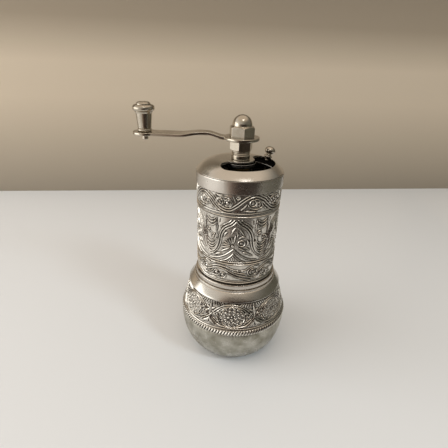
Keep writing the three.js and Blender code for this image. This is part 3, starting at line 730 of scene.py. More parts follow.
class Metal(Nodes):
    """Builds a finish as a node material, once for each finish."""

    made: dict[str, bpy.types.Material] = {}

    @classmethod
    def of(cls, finish: Finish) -> bpy.types.Material:
        """Returns the material of a finish, making it the first time."""
        if finish.name not in cls.made:
            cls.made[finish.name] = cls(finish).material
        return cls.made[finish.name]

    def __init__(self, finish: Finish) -> None:
        """Builds the nodes of one finish.

        Args:
            finish: The finish.
        """
        self.finish = finish
        self.material = bpy.data.materials.new(finish.name)
        self.material.use_nodes = True
        super().__init__(self.material.node_tree)
        self.shader = self.tree.nodes["Principled BSDF"]
        self.place = self.node("ShaderNodeTexCoord").outputs["Object"]
        self.shader.inputs["Metallic"].default_value = 1
        self.shader.inputs["Specular Tint"].default_value = (*finish.edge, 1)
        self.colour()
        self.roughness()
        self.bumps()
        if finish.anisotropy:
            self.brush_direction()

    def noise(self, size: float, detail: float = 3, place: Socket | None = None,
              stretch: Sequence[float] = (1, 1, 1)) -> Socket:
        """Adds a noise with marks of about a size in millimetres.

        Args:
            size: Size of the marks.
            detail: Octaves of finer marks.
            place: Coordinates, or the object's own.
            stretch: Scale along each axis.

        Returns:
            The noise's value.
        """
        scale = [s / (size * MM) for s in stretch]
        scaled = self.node("ShaderNodeMapping", {"Vector": place or self.place, "Scale": scale}).outputs[0]
        inputs = {"Vector": scaled, "Scale": 1, "Detail": detail}
        return self.node("ShaderNodeTexNoise", inputs).outputs["Fac"]

    def recess(self) -> Socket:
        """Returns the share of grime and painted shade: full in the bottom of the relief, uneven at its edge.
        """
        relief = self.node("ShaderNodeAttribute", attribute_name="relief").outputs["Fac"]
        uneven = self.ranged(self.noise(0.9, 4), 0.35, 0.65, -0.06, 0.06)
        return self.ranged(self.added(relief, uneven), 0.05, self.finish.grime_and_shade_depth, 1, 0)

    def colour(self) -> None:
        """Colours the metal, with faint clouds, and tarnish with painted shade in the recesses."""
        finish = self.finish
        cloud = self.ranged(self.noise(5, 5), 0.35, 0.68, 0, 1)
        warm = tuple(c * (1 - k * finish.tarnish) for c, k in zip(finish.colour, (1.0, 1.03, 1.15)))
        colour = self.mixed(cloud, finish.colour, warm)
        if finish.grime_and_shade_depth:
            # The recesses are painted darker: partly tarnish, partly painted shade that stands in for the
            # shade between the ridges.
            self.grime_and_shade_share = self.recess()
            colour = self.mixed(self.grime_and_shade_share, colour, finish.grime_and_shade)
        self.link(colour, self.shader.inputs["Base Color"])

    def roughness(self) -> None:
        """Lets the roughness wander, and dulls the grime and painted shade in the recesses."""
        finish = self.finish
        low, high = finish.roughness - finish.spread / 2, finish.roughness + finish.spread
        value = self.ranged(self.noise(2.5, 5), 0.3, 0.75, low, high)
        if finish.grime_and_shade_depth:
            value = self.added(value, self.ranged(self.grime_and_shade_share, 0, 1, 0, 0.35))
        self.link(value, self.shader.inputs["Roughness"])

    def round_place(self) -> Socket:
        """Adds coordinates in which a ring is one point.

        Returns:
            The radius as X and the height as Y.
        """
        x, y, z = self.parts("Object").outputs
        flat = self.node("ShaderNodeCombineXYZ", {"X": x, "Y": y})
        radius = self.node("ShaderNodeVectorMath", {0: flat.outputs[0]}, operation="LENGTH").outputs["Value"]
        return self.node("ShaderNodeCombineXYZ", {"X": radius, "Y": z}).outputs[0]

    def bumps(self) -> None:
        """Adds the broad unevenness and the tool marks."""
        finish = self.finish
        brushed = finish.grain is Grain.BRUSHED
        waves = self.noise(finish.wave_size, 2, stretch=(1, 1, 0.05) if brushed else (1, 1, 1))
        if finish.grain is Grain.CAST:
            marks = self.noise(0.25, 3)
        elif brushed:
            marks = self.noise(0.16, 3, stretch=(1, 1, 0.06))
        else:
            marks = self.noise(0.2, 3, self.round_place())
        wavy = self.node("ShaderNodeBump", {"Distance": finish.waves * MM, "Height": waves}).outputs[0]
        inputs = {"Distance": finish.lines * MM, "Height": marks, "Normal": wavy}
        self.link(self.node("ShaderNodeBump", inputs).outputs[0], self.shader.inputs["Normal"])

    def brush_direction(self) -> None:
        """Stretches the highlights across marks that run round the axis."""
        self.shader.inputs["Anisotropic"].default_value = self.finish.anisotropy
        tangent = self.node("ShaderNodeTangent", direction_type="RADIAL", axis="Z")
        self.link(tangent.outputs[0], self.shader.inputs["Tangent"])


@dataclass
class Assembly:
    """Common part of the mill's sub-assemblies."""

    def dress(self, thing: Thing, body: Body, finish: Finish, node: str) -> Thing:
        """Gives a piece its material and its place in the frame.

        Args:
            thing: The piece.
            body: Body that it rides on.
            finish: Its finish.
            node: Frame node that it stands for.

        Returns:
            The same piece.
        """
        thing.data.materials.clear()
        thing.data.materials.append(Metal.of(finish))
        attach(thing, body.value)
        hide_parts(node)
        log.info("%s: %d faces on body %s", thing.name, len(thing.data.polygons), body.value)
        return thing

    def turned(self, name: str, line: Line, body: Body, finish: Finish, node: str,
               columns: int = 96, sharp: float = 40, **form: object) -> Thing:
        """Builds and dresses a turned piece; form holds what else Shape.revolve takes."""
        thing = shaded(Shape().revolve(line, columns, **form).to_object(name), sharp)
        return self.dress(thing, body, finish, node)


@dataclass
class ShoulderOrnament(Relief):
    """One repeat of the jar's shoulder: a pointed medallion, and leaves at its sides."""

    disc_middle: Point = (0.0, 27.35)
    disc_across: float = 5.6
    disc_up: float = 4.35

    def draw(self) -> None:
        """Draws the whole repeat."""
        for z, ridge in ((22.0, 0.55), (33.5, 0.45)):
            self.stroke([(-self.side, z), (self.side, z)], ridge, 0.8)
        self.frame()
        self.flower_disc()
        self.between()

    def frame(self) -> None:
        """Draws the double pointed oval round the medallion, with curls inside it."""
        upper = smooth_line([(0, 32.7), (3.0, 32.2), (5.4, 31.1), (7.8, 29.2), (9.9, 26.6)])
        lower = smooth_line([(9.9, 26.6), (7.6, 24.6), (5.2, 23.3), (0, 22.6)])
        inner = smooth_line([(0, 32.0), (2.8, 31.5), (5.0, 30.4), (7.0, 28.6), (8.7, 26.6), (6.8, 25.2),
                             (5.2, 24.2)])
        for line, width, share in ((upper, 0.5, 1), (lower, 0.5, 1), (inner, 0.36, 0.85)):
            self.stroke(line, width, share, mirror=True)
        for place in ((6.5, 27.6), (7.5, 26.9), (6.4, 26.2), (6.0, 28.9), (5.9, 25.1)):
            self.curl(place, 0.5, 90 * place[0], 0.8, 0.3, 0.85, mirror=True)

    def flower_disc(self) -> None:
        """Fills the medallion with rings of dense small curls on a swell."""
        middle, across, up = self.disc_middle, self.disc_across, self.disc_up
        self.stroke(arc(middle, 0.5 * across, 0.5 * up, 0, 360, 20), 1.5 * up, 0.5, Section.SWELL)
        self.ring(middle, across, up, 0.42)
        self.boss(middle, 0.5)
        for count, share, size in ((5, 0.26, 0.6), (10, 0.55, 0.62), (16, 0.84, 0.58)):
            for k in range(count):
                s, z = polar(share, 360 * (k + 0.5) / count + 90)
                place = middle[0] + s * across, middle[1] + z * up
                odd = k % 2
                self.curl(place, size, 360 * k / count + 180 * odd, 0.9 - 1.8 * odd, 0.32, 0.9)

    def between(self) -> None:
        """Draws the leaf, the crossing and the hatching between two medallions."""
        side = self.side
        self.stroke([(side, 27.4), (side, 31.2)], 1.5, 0.9, Section.SWELL)
        self.stroke([(side, 29.3), (side - 2.0, 28.0)], 1.1, 0.7, Section.SWELL, mirror=True)
        self.leaf([(side, 28.2), (side, 33.0)], 0.9)
        self.leaf([(side, 29.4), (side - 2.2, 30.3)], 0.8, 0.9, mirror=True)
        for k in range(4):
            low, high = (side - 0.85 - 0.75 * k, 22.9), (side - 0.15 * k, 26.0 - 0.35 * k)
            self.leaf([high, low], 0.55, 0.9, mirror=True)
        for k in range(5):
            place = side - 1.1 - 1.05 * k
            self.leaf([(place, 33.1), (place - 0.9 - 0.1 * k, 31.2 + 0.18 * k)], 0.5, 0.85, mirror=True)
        self.boss((side - 3.6, 30.5), 0.36, 0.9, mirror=True)
        self.boss((side - 2.7, 30.0), 0.3, 0.9, mirror=True)


@dataclass
class Jar(Assembly):
    """Bulb-shaped jar with a rope moulding and an embossed shoulder."""

    medallions: int = 7
    strands: int = 119
    columns_per_strand: int = 9
    foot_radius: float = 14.5
    foot_recess: float = 0.35
    belly_radius: float = 24.2
    belly_height: float = 18.0
    rope_bottom: float = 18.9
    rope_top: float = 21.5
    rope_ledge: float = 0.4
    rope_slant: float = 3.4
    strand_depth: float = 0.5
    shoulder_radius: float = 23.9
    shoulder_waist: float = 22.2
    shoulder_top_radius: float = 20.5
    collar_bottom: float = 33.9
    collar_top: float = 37.0
    collar_radius: float = 20.9
    collar_top_radius: float = 18.5
    lip_radius: float = 18.3
    mouth_radius: float = 16.3
    mouth_depth: float = 3.0
    wall: float = 1.2
    floor: float = 1.4
    relief_depth: float = 0.34
    row_height: float = 0.13

    @property
    def columns(self) -> int:
        """Points round the jar."""
        return self.strands * self.columns_per_strand

    def build(self) -> None:
        """Builds and dresses the jar; bowl and collar have finishes of their own."""
        line, relief, clean = self.outline()
        thing = self.turned("jar", line, Body.JAR, EMBOSSED, "jar_bowl", self.columns, 60,
                            relief=relief, clean=clean)
        thing.data.materials.append(Metal.of(BOWL))
        thing.data.materials.append(Metal.of(COLLAR))
        for face in thing.data.polygons:
            height = face.center.z / MM
            face.material_index = 1 if height < self.rope_bottom else 2 * (height > self.collar_bottom)

    def outline(self) -> tuple[list[Point], Array, Array]:
        """Draws the jar's outline and the relief on it.

        Returns:
            The outline from the foot over the lip to the floor inside, the heights to
            add to its radii by row and column, and how open each point lies.
        """
        edge, recess = self.foot_radius, self.foot_recess
        middle, across, up = (edge, self.belly_height), self.belly_radius - edge, self.belly_height
        bowl = arc(middle, across, up, -90, 0, 26)
        inside = arc(middle, across - self.wall, up - self.floor, 0, -90, 14)
        rope, shoulder = self.rope_outline(), self.shoulder_outline()
        collar = self.collar_outline(shoulder[-1])
        foot = [(0.0, recess), (edge - 2.2, recess), (edge - 1.6, 0.0)]
        rows = [*foot, *bowl, *rope, *shoulder, *collar, *inside, (0.0, self.floor)]
        relief = np.zeros((len(rows), self.columns))
        clean = np.ones_like(relief)
        start = len(foot) + len(bowl)
        part = slice(start, start + len(rope))
        relief[part] = self.rope_relief(rope)
        # The grooves between the rope's strands are painted darker: partly tarnish, partly painted shade.
        clean[part] = np.clip(0.95 + 1.5 * relief[part] / self.strand_depth, 0, 1)
        part = slice(part.stop, part.stop + len(shoulder))
        width, heights = TURN * self.shoulder_waist / self.medallions, np.array([z for _, z in shoulder])
        tile = ShoulderOrnament(width, self.columns // self.medallions, heights, self.relief_depth)
        tile.draw()
        steps = np.arange(len(shoulder))
        fade = np.clip(np.minimum(steps, steps[::-1]) / 3, 0, 1)
        relief[part] = tile.round_about((tile.total() - self.relief_depth) * fade[:, None], self.medallions)
        clean[part] = tile.round_about(tile.clean(), self.medallions)
        # Painted shade in the seam: the lip's top under the turned ring is painted fully dark.
        seam_painted_shade = [r < self.lip_radius - 0.1 and z > extent("jar_bowl").top - 0.3 for r, z in rows]
        clean[seam_painted_shade] = 0
        return rows, relief, clean

    def collar_outline(self, start: Point) -> list[Point]:
        """Draws the collar, the lip and the mouth, down to the inside of the shoulder.

        Args:
            start: Upper end of the shoulder, which is left out.

        Returns:
            The outline.
        """
        height, top, bottom = extent("jar_bowl").top, self.collar_top, self.collar_bottom
        collar, lip, mouth = self.collar_radius, self.lip_radius, self.mouth_radius
        return rounded([
            start, (collar, bottom, 0.15), (collar - 0.25, bottom + 0.5, 0.3),
            (self.collar_top_radius, top, 0.25), (lip - 0.2, top + 0.25, 0.1), (lip, top + 0.5, 0.25),
            (lip, height, 0.35), (mouth, height, 0.2), (mouth, height - self.mouth_depth, 0.3),
            (self.shoulder_top_radius - self.wall, bottom - 2.2, 1.0),
            (self.shoulder_radius - self.wall, self.rope_top),
        ], closed=False)[1:]

    def rope_outline(self) -> list[Point]:
        """Draws the half-round section of the rope moulding.

        Returns:
            The outline, up to the ledge over the moulding.
        """
        top = self.rope_top - self.rope_ledge
        middle, half = (self.rope_bottom + top) / 2, (top - self.rope_bottom) / 2
        depth = extent("jar_bowl").radius - self.belly_radius + 0.35
        ring = arc((self.belly_radius - 0.4, middle), depth, half, -85, 80, 18)
        return [*ring, (self.shoulder_radius - 0.35, self.rope_top - 0.2)]

    def rope_relief(self, rope: list[Point]) -> Array:
        """Twists the moulding into slanting strands.

        Args:
            rope: Outline of the moulding.

        Returns:
            Heights to add to the radii, by row and column.
        """
        turns = np.arange(self.columns) / self.columns_per_strand
        heights = np.array([z for _, z in rope])
        middle = (self.rope_bottom + self.rope_top) / 2
        slant = (heights - middle) / (self.rope_top - self.rope_bottom) * self.rope_slant
        lean = slant / (360 / self.strands)
        wave = np.abs(np.sin(math.pi * (turns[None, :] - lean[:, None])))
        fade = np.clip(np.sin(np.linspace(0, math.pi, len(rope))) * 1.6, 0, 1)
        return -self.strand_depth * (1 - wave) ** 0.8 * fade[:, None]

    def shoulder_outline(self) -> list[Point]:
        """Draws the shoulder.

        Returns:
            The outline, from the rope moulding up to the collar.
        """
        t = np.linspace(0, 1, int((self.collar_bottom - self.rope_top) / self.row_height))[:, None]
        waist_height = (self.rope_top + self.collar_bottom) / 2 - 1
        points = ((self.shoulder_radius, self.rope_top), (self.shoulder_waist, waist_height),
                  (self.shoulder_top_radius, self.collar_bottom))
        shares = (1 - t) ** 2, 2 * t * (1 - t), t ** 2
        line = sum(share * np.array(point) for share, point in zip(shares, points))
        return [(r, z) for r, z in line.tolist()]


@dataclass
class TubeOrnament(Relief):
    """One repeat of the tube: a bell-shaped medallion between half cartouches, in three zones."""

    line_width: float = 0.56
    fine_width: float = 0.5
    leaf_width: float = 0.66
    tent_place: float = -0.9
    upper_line: float = 72.1
    lower_line: float = 50.7
    palm: Point = (-1.2, 58.8)
    volute: Point = (2.3, 60.1)
    boss_place: Point = (8.4, 46.4)

    def draw(self) -> None:
        """Draws the whole repeat."""
        self.borders()
        self.medallion()
        self.palmette()
        self.cartouche()
        self.upper_zone()
        self.lower_zone()

    def leaves(self, lines: Sequence[Line], width: float) -> None:
        """Draws curved leaves of one width."""
        for line in lines:
            self.leaf(smooth_line(line), width)

    def bows(self, arcs: Sequence[tuple[Point, float, float, float, float]]) -> None:
        """Draws arcs from their middles, half sizes and angles."""
        for place, across, up, start, stop in arcs:
            self.stroke(arc(place, across, up, start, stop, 18), self.line_width)

    def borders(self) -> None:
        """Draws the double lines round the tube."""
        bottom = self.heights[0]
        for z, ridge in ((self.upper_line + 0.65, 0.55), (self.upper_line - 0.7, 0.45),
                         (self.lower_line + 0.5, 0.5), (self.lower_line - 0.5, 0.45),
                         (bottom + 0.35, 0.7), (bottom + 1.2, 0.4)):
            self.stroke([(-self.side, z), (self.side, z)], ridge, 0.9)

    def medallion(self) -> None:
        """Draws the bell-shaped frame with its slits, the tent under it and the tent's beads."""
        bell = smooth_line([(0, 69.5), (1.7, 67.7), (3.9, 66.3), (5.3, 64.5), (6.0, 62.4), (6.3, 60.0),
                            (7.3, 57.0), (9.0, 54.8), (self.side, 53.4)])
        self.parallel(bell, (0, 1.0), self.line_width, mirror=True)
        self.parallel(bell[3:22], (2.0,), self.fine_width, mirror=True)
        for place, z, length in ((6.9, 69.2, 1.5), (7.7, 66.0, 1.8), (7.6, 62.2, 1.3)):
            slit = [(place, z - length / 2), (place - 0.2, z + length / 2)]
            self.stroke(slit, 0.6, 0.8, Section.GROOVE, mirror=True)
        outer = 0.7, [(0, 57.4), (1.6, 55.9), (3.6, 54.3), (6.3, 52.9), (10.2, 51.9)]
        inner = 0.6, [(0, 55.3), (1.3, 53.7), (3.2, 52.2), (5.0, 51.4)]
        for width, tent in (outer, inner):
            for way in (-1, 1):
                self.stroke(smooth_line([(self.tent_place + way * s, z) for s, z in tent]), width)
        for row, count in enumerate((5, 4, 2, 1)):
            for k in range(count):
                self.boss((self.tent_place + (k - (count - 1) / 2) * 0.78, 51.5 + 0.72 * row), 0.3, 0.9)

    def palmette(self) -> None:
        """Draws the petals at the medallion's left, the volute at its right and leaves."""
        s, z = self.palm
        for k in range(8):
            angle = 78 + 19 * k
            petal = [polar(radius, angle) for radius in (0.9, 4.0 + 0.1 * (k - 3) ** 2)]
            self.leaf([(s + x, z + y) for x, y in petal], 0.68)
        self.boss(self.palm, 0.7, 0.8)
        self.ring(self.volute, 1.4, 1.35, 0.5)
        self.boss(self.volute, 0.55)
        self.leaves((
            [(-0.1, 67.3), (-1.2, 65.7), (-1.9, 63.9)], [(0.5, 66.9), (2.0, 65.5), (3.3, 63.5)],
            [(0.2, 65.2), (0.6, 64.0), (0.4, 62.6)], [(1.2, 62.3), (2.6, 63.1), (4.2, 62.6)],
            [(4.4, 62.0), (5.0, 60.6), (4.9, 59.2)], [(3.4, 58.3), (4.6, 58.0), (5.9, 57.0)],
            [(0.9, 58.0), (2.6, 57.4), (4.4, 56.4)], [(2.8, 56.1), (4.8, 55.6), (7.2, 54.2)],
            [(-5.6, 55.0), (-7.4, 54.5), (-9.0, 53.4)], [(-3.4, 65.0), (-4.4, 64.0), (-4.9, 62.6)],
        ), self.leaf_width)

    def cartouche(self) -> None:
        """Draws the two spirals in their nested bows, and the brows above them."""
        side, fine = self.side, self.fine_width
        frame = smooth_line([(8.3, 70.2), (8.05, 66.5), (8.2, 63.0), (9.1, 60.3), (side, 59.3)])
        self.stroke(frame, fine, mirror=True)
        for k in range(4):
            bow = arc((side, 61.2), 2.6 + 0.35 * k, 3.2 + 1.1 * k, -175, -90, 14)
            self.stroke(bow, self.line_width, mirror=True)
        for place, start in (((side - 1.2, 63.9), 60), ((1.2 - side, 62.0), 240)):
            self.curl(place, 1.4, start, 1.3, fine)
        for z in (66.5, 67.8, 69.1):
            brow = smooth_line([(side - 2.0, z + 0.9), (side - 1.1, z + 0.2), (side, z - 0.1)])
            self.stroke(brow, fine, mirror=True)

    def upper_zone(self) -> None:
        """Draws the wave with pairs of rosettes above the middle zone."""
        wave = smooth_line([(-self.side, 78.0), (-9.2, 76.3), (-7.0, 74.6), (-4.6, 73.8), (-2.4, 74.0),
                            (0.1, 75.7), (3.1, 78.2), (5.6, 79.4), (7.9, 79.5), (self.side, 78.0)])
        self.parallel(wave, (0,), self.line_width)
        self.parallel(wave[24:56], (1.0,), self.line_width)
        self.parallel(wave[:26], (-1.0, 1.0), self.fine_width)
        self.parallel(wave[:12], (-2.0, 2.0), self.fine_width)
        self.parallel(wave[60:], (-2.0, -1.0, 1.0), self.fine_width)
        self.rosettes(((-7.1, 77.0), (-4.0, 76.9), (5.9, 77.1), (8.7, 76.2)), 1.3)
        left, right = (-5.5, 76.9), (7.3, 76.6)
        self.bows(((left, 3.3, 2.2, 70, 190), (left, 3.3, 2.2, 320, 420), (right, 3.2, 2.0, 190, 320)))
        self.curl((0.2, 79.4), 0.9, 200, 1.0, 0.45)
        self.leaves((
            [(-1.9, 79.9), (-1.3, 78.6), (-0.9, 77.4)], [(1.2, 74.4), (2.6, 75.5), (3.6, 76.9)],
            [(2.6, 74.0), (5.0, 73.8), (7.6, 73.7)], [(-8.8, 79.9), (-7.4, 79.6), (-5.6, 79.9)],
        ), 0.65)

    def lower_zone(self) -> None:
        """Draws the swags with rosettes and a ringed boss below the middle zone."""
        for swag in (
            [(-self.side - 1, 46.9), (-9.0, 48.4), (-6.4, 49.0), (-3.6, 48.7), (-1.0, 47.9), (1.8, 47.3),
             (4.4, 47.6), (6.4, 48.8), (8.6, 49.5), (self.side, 48.9)],
            [(-self.side - 1, 45.8), (-9.0, 47.3), (-6.4, 47.9), (-3.6, 47.4), (-1.2, 46.3), (1.6, 45.2),
             (4.6, 44.5), (7.6, 43.6), (9.8, 43.9), (self.side + 1, 45.8)],
            [(-3.0, 46.1), (-0.8, 44.9), (1.7, 43.9), (4.4, 43.2), (7.2, 42.4)],
            [(-0.6, 46.9), (1.8, 46.2), (4.8, 45.7)],
        ):
            self.stroke(smooth_line(swag), self.line_width)
        self.rosettes(((-8.0, 45.1), (-5.0, 44.6)), 1.35)
        self.boss(self.boss_place, 0.75)
        self.ring(self.boss_place, 1.6, 1.3, 0.45)
        self.bows(((self.boss_place, 2.7, 2.1, 100, 260),))
        starts = (-10.9, 49.8), (-10.2, 43.6), (-10.6, 42.6)
        self.leaves([[(s, z), (s + 1.5, z + 0.2), (s + 3.1, z + 0.1)] for s, z in starts], 0.55)


@dataclass
class Tube(Assembly):
    """Embossed tube with its turned ring, and the neck inside the cap."""

    repeats: int = 5
    columns_per_repeat: int = 172
    row_height: float = 0.13
    radius: float = 17.25
    top_radius: float = 17.6
    inner_radius: float = 16.2
    groove: float = 0.3
    groove_depth: float = 0.35
    shoulder_height: float = 80.55
    neck_radius: float = 17.15
    relief_depth: float = 0.32
    bead_radius: float = 17.8
    bead_top: float = 40.3
    bead_bottom: float = 38.15
    spigot_radius: float = 16.05
    spigot_wall: float = 0.85
    flange_radius: float = 11.4
    flange_top: float = 40.1
    flange_sheet: float = 2.0
    sleeve_radius: float = 16.15

    def build(self) -> None:
        """Builds and dresses the tube and the ring."""
        self.tube()
        self.ring()

    def tube(self) -> None:
        """Builds the tube with its ornament all round."""
        size = extent("body_shell")
        rows = int((self.shoulder_height - size.bottom) / self.row_height)
        heights = np.linspace(size.bottom + 2 * self.groove, self.shoulder_height, rows)
        outside = list(zip(np.linspace(self.radius, self.top_radius, rows).tolist(), heights.tolist()))
        groove = self.radius - self.groove_depth
        start = [(self.inner_radius, size.bottom), (groove, size.bottom), (groove, size.bottom + self.groove)]
        rest = rounded([
            outside[-1], (self.neck_radius, self.shoulder_height + 0.05, 0.05),
            (self.neck_radius, size.top, 0.15), (self.inner_radius, size.top, 0.15),
            (self.inner_radius, size.bottom + 1),
        ], closed=False)[1:]
        line = [*start, *outside, *rest]
        width = TURN * (self.radius + self.top_radius) / 2 / self.repeats
        field = TubeOrnament(width, self.columns_per_repeat, heights, self.relief_depth)
        field.draw()
        relief = np.zeros((len(line), self.repeats * self.columns_per_repeat))
        clean = np.ones_like(relief)
        part = slice(len(start), len(start) + rows)
        relief[part] = field.round_about(field.total() - self.relief_depth, self.repeats)
        clean[part] = field.round_about(field.clean(), self.repeats)
        # Painted shadow under the cap's band: the tube's top rows are painted fully dark.
        clean[part][heights > self.shoulder_height - 0.3] = 0
        # Painted shade in the groove at the tube's foot.
        clean[1:len(start)] = 0
        self.turned("embossed_tube", line, Body.MILL, EMBOSSED, "body_shell", relief.shape[1], 60,
                    relief=relief, clean=clean)

    def ring(self) -> None:
        """Builds the turned ring: spigot, bead, sleeve and flange."""
        size = extent("spigot_ring")
        spigot, sleeve = self.spigot_radius, self.sleeve_radius
        bead, flange = self.bead_radius, self.flange_radius
        low, high, top = self.bead_bottom, self.bead_top, self.flange_top
        inside, bottom = spigot - self.spigot_wall, top - self.flange_sheet
        sleeve_inside = sleeve - self.spigot_wall
        line = rounded([
            (inside, size.bottom, 0.1), (spigot, size.bottom, 0.25), (spigot, low, 0.1), (bead, low, 0.55),
            (bead, high, 0.5), (sleeve, high, 0.1), (sleeve, size.top, 0.1), (sleeve_inside, size.top, 0.1),
            (sleeve_inside, top, 0.2), (flange, top, 0.15), (flange, bottom, 0.15), (inside, bottom, 0.2),
        ])
        self.turned("spigot_ring_turned", line, Body.MILL, BAND, "spigot_ring", 192)


@dataclass(frozen=True)
class Dome:
    """Curve of the cap's top, shared by the cap, its bush and the shutter."""

    flat_radius: float = 8.0
    rim_radius: float = 17.5
    rise: float = 3.65
    power: float = 2.8
    sheet: float = 0.8
    gap: float = 0.25

    @property
    def top(self) -> float:
        """Height of the flat top."""
        return extent("cap").top

    def height(self, radius: Array | float) -> Array | float:
        """Height of the top surface at a radius."""
        share = np.maximum(0, radius - self.flat_radius) / (self.rim_radius - self.flat_radius)
        return self.top - self.rise * share ** self.power

    def underside(self, radius: Array | float) -> Array | float:
        """Height of the lower surface at a radius."""
        return self.height(radius) - self.sheet


@dataclass
class Cap(Assembly):
    """Domed cap with a plain band and a crescent filling slot, and its bush."""

    dome: Dome = Dome()
    slot_radius: float = 9.85
    slot_width: float = 8.4
    slot_start: float = -109.0
    slot_end: float = 20.0
    slot_edge: float = 0.22
    hole_radius: float = 3.5
    band_height: float = 5.0
    band_radius: float = 17.9
    band_wall: float = 0.5
    shelf_depth: float = 0.6
    inner_radius: float = 16.4
    end_columns: int = 16
    long_columns: int = 72
    rest_columns: int = 88
    hub_rows: int = 8
    rim_rows: int = 16
    bush_bore: float = 2.62
    bush_radius: float = 4.15
    bush_neck: float = 3.45
    clip_groove: tuple[float, float, float] = (3.75, 86.8, 87.4)

    def build(self) -> None:
        """Builds and dresses the cap and its bush; the band has a duller finish."""
        thing = shaded(self.cap_shape().to_object("domed_cap", merge=True), sharp=50)
        self.dress(thing, Body.MILL, SATIN, "cap")
        thing.data.materials.append(Metal.of(BAND))
        band_top = (extent("cap").bottom + self.band_height + 0.05) * MM
        for face in thing.data.polygons:
            face.material_index = int(face.center.z < band_top)
        self.bush()

    def crescent(self, expand: float) -> tuple[list[Point], list[Point]]:
        """Draws the slot's inner and outer edge from its start to its end.

        Args:
            expand: How far the edge lies outside the slot.

        Returns:
            The two edges, which share their first and last points' place.
        """
        half = self.slot_width / 2 + expand
        start, end = polar(self.slot_radius, self.slot_start), polar(self.slot_radius, self.slot_end)
        edges = []
        back, ahead = self.slot_start - 90, self.slot_end + 90
        for side in (-1, 1):
            reach = self.slot_radius + side * half
            first = arc(start, half, half, back, back + side * 90, self.end_columns)
            middle = arc((0, 0), reach, reach, self.slot_start, self.slot_end, self.long_columns)
            last = arc(end, half, half, ahead - side * 90, ahead, self.end_columns)
            edges.append([*first[:-1], *middle, *last[1:]])
        return edges[0], edges[1]

    def columns(self, expand: float) -> tuple[Array, Array]:
        """Places the slot's edges on every column round the cap.

        Args:
            expand: How far the edge lies outside the slot.

        Returns:
            Radii and angles of the inner and of the outer edge, by column. Columns that
            miss the slot have both edges on its middle line.
        """
        tip = math.degrees((self.slot_width / 2 + expand) / self.slot_radius)
        rest = np.linspace(self.slot_end + tip, self.slot_start - tip + 360, self.rest_columns + 2)[1:-1]
        plain = [(self.slot_radius, math.radians(a)) for a in rest]
        both = []
        for edge in self.crescent(expand):
            points = np.array(edge)
            angles = np.unwrap(np.arctan2(points[:, 1], points[:, 0]))
            angles += TURN * round((math.radians(self.slot_start) - angles[len(angles) // 8]) / TURN)
            both.append(np.array([*zip(np.hypot(*points.T), angles), *plain]))
        return both[0], both[1]

    def row(self, edge: Array, share: float, radius: float, height: Callable | float) -> Array:
        """Places one row of points between the slot's edge and a ring.

        Args:
            edge: Radii and angles of the slot's edge by column.
            share: 0 on the edge, 1 on the ring.
            radius: Radius of the ring.
            height: Height, or a function of the radius.

        Returns:
            The row's points.
        """
        count = len(edge)
        even = self.base_angles[:count]
        radii = edge[:, 0] + (radius - edge[:, 0]) * share
        angles = edge[:, 1] + (even - edge[:, 1]) * share
        heights = height(radii) if callable(height) else np.full(count, height)
        return np.stack([radii * np.cos(angles), radii * np.sin(angles), heights], -1)

    def cap_shape(self) -> Shape:
        """Spans the cap's surfaces: inside the slot, outside it, and the slot's wall.

        Returns:
            The closed shape.
        """
        dome, hub = self.dome, self.hole_radius
        inner_top, outer_top = self.columns(self.slot_edge)
        inner_low, outer_low = self.columns(0)
        self.base_angles = (inner_top[:, 1] + outer_top[:, 1]) / 2
        near, far = np.linspace(0, 1, self.hub_rows), np.linspace(0, 1, self.rim_rows)
        inner = [self.row(inner_low, t, hub, dome.underside) for t in near]
        inner += [self.row(inner_top, t, hub, dome.height) for t in near[::-1]]
        outer = [self.row(outer_top, t, dome.rim_radius, dome.height) for t in far]
        outer += [self.row(outer_top, 1, r, z) for r, z in self.band_outline()]
        outer += [self.row(outer_low, t, self.inner_radius, dome.underside) for t in far[::-1]]
        shape = Shape()
        for rows in (inner, outer, self.slot_wall()):
            shape.grid(np.array(rows), wrap_columns=True)
        return shape

    def band_outline(self) -> list[Point]:
        """Draws the rim, the groove, the band and its inside.

        Returns:
            The outline, from the dome's edge on.
        """
        top = self.dome.top - self.dome.rise
        bottom = extent("cap").bottom
        band_top = bottom + self.band_height
        shelf = band_top - self.shelf_depth
        rim, band, inner = self.dome.rim_radius, self.band_radius, self.inner_radius
        wall = band - self.band_wall
        return rounded([
            (rim, top, 0.0), (rim + 0.2, top - 0.19, 0.2), (rim + 0.2, top - 0.34, 0.08),
            (rim - 0.3, top - 0.4, 0.05), (rim - 0.3, band_top + 0.1, 0.05),
            (band - 0.05, band_top - 0.05, 0.12), (band, band_top - 0.4, 0.2), (band, bottom + 0.12, 0.08),
            (band - 0.1, bottom, 0.05), (wall, bottom, 0.1), (wall, shelf, 0.1), (inner, shelf, 0.1),
            (inner, self.dome.underside(inner)),
        ], closed=False)[1:]

    def slot_wall(self) -> Array:
        """Places the rounded upper edge and the wall of the slot.

        Returns:
            Rows of points from the top surface down to the underside.
        """
        dome = self.dome
        rows = []
        for angle in (*range(0, 91, 18), 91):
            turn = math.radians(min(angle, 90))
            expand = self.slot_edge * (1 - math.sin(turn))
            drop = self.slot_edge * (1 - math.cos(turn)) if angle <= 90 else dome.sheet
            inner, outer = self.crescent(expand)
            line = np.array([*inner, *outer[-2:0:-1]])
            heights = dome.height(np.hypot(*line.T)) - drop
            rows.append(np.column_stack([line, heights]))
        return np.array(rows)

    def bush(self) -> None:
        """Builds the brass bush in the middle of the cap."""
        size = extent("cap_bush")
        bore, radius, neck = self.bush_bore, self.bush_radius, self.bush_neck
        under = self.dome.top - self.dome.sheet - 0.05
        groove, low, high = self.clip_groove
        line = rounded([
            (bore, size.bottom, 0.15), (radius, size.bottom, 0.2), (radius, low, 0.05), (groove, low, 0.05),
            (groove, high, 0.05), (radius, high, 0.05), (radius, under, 0.1), (neck, under, 0.05),
            (neck, size.top, 0.15), (bore, size.top, 0.1),
        ])
        self.turned("cap_bush_turned", line, Body.MILL, BRASS, "cap_bush")


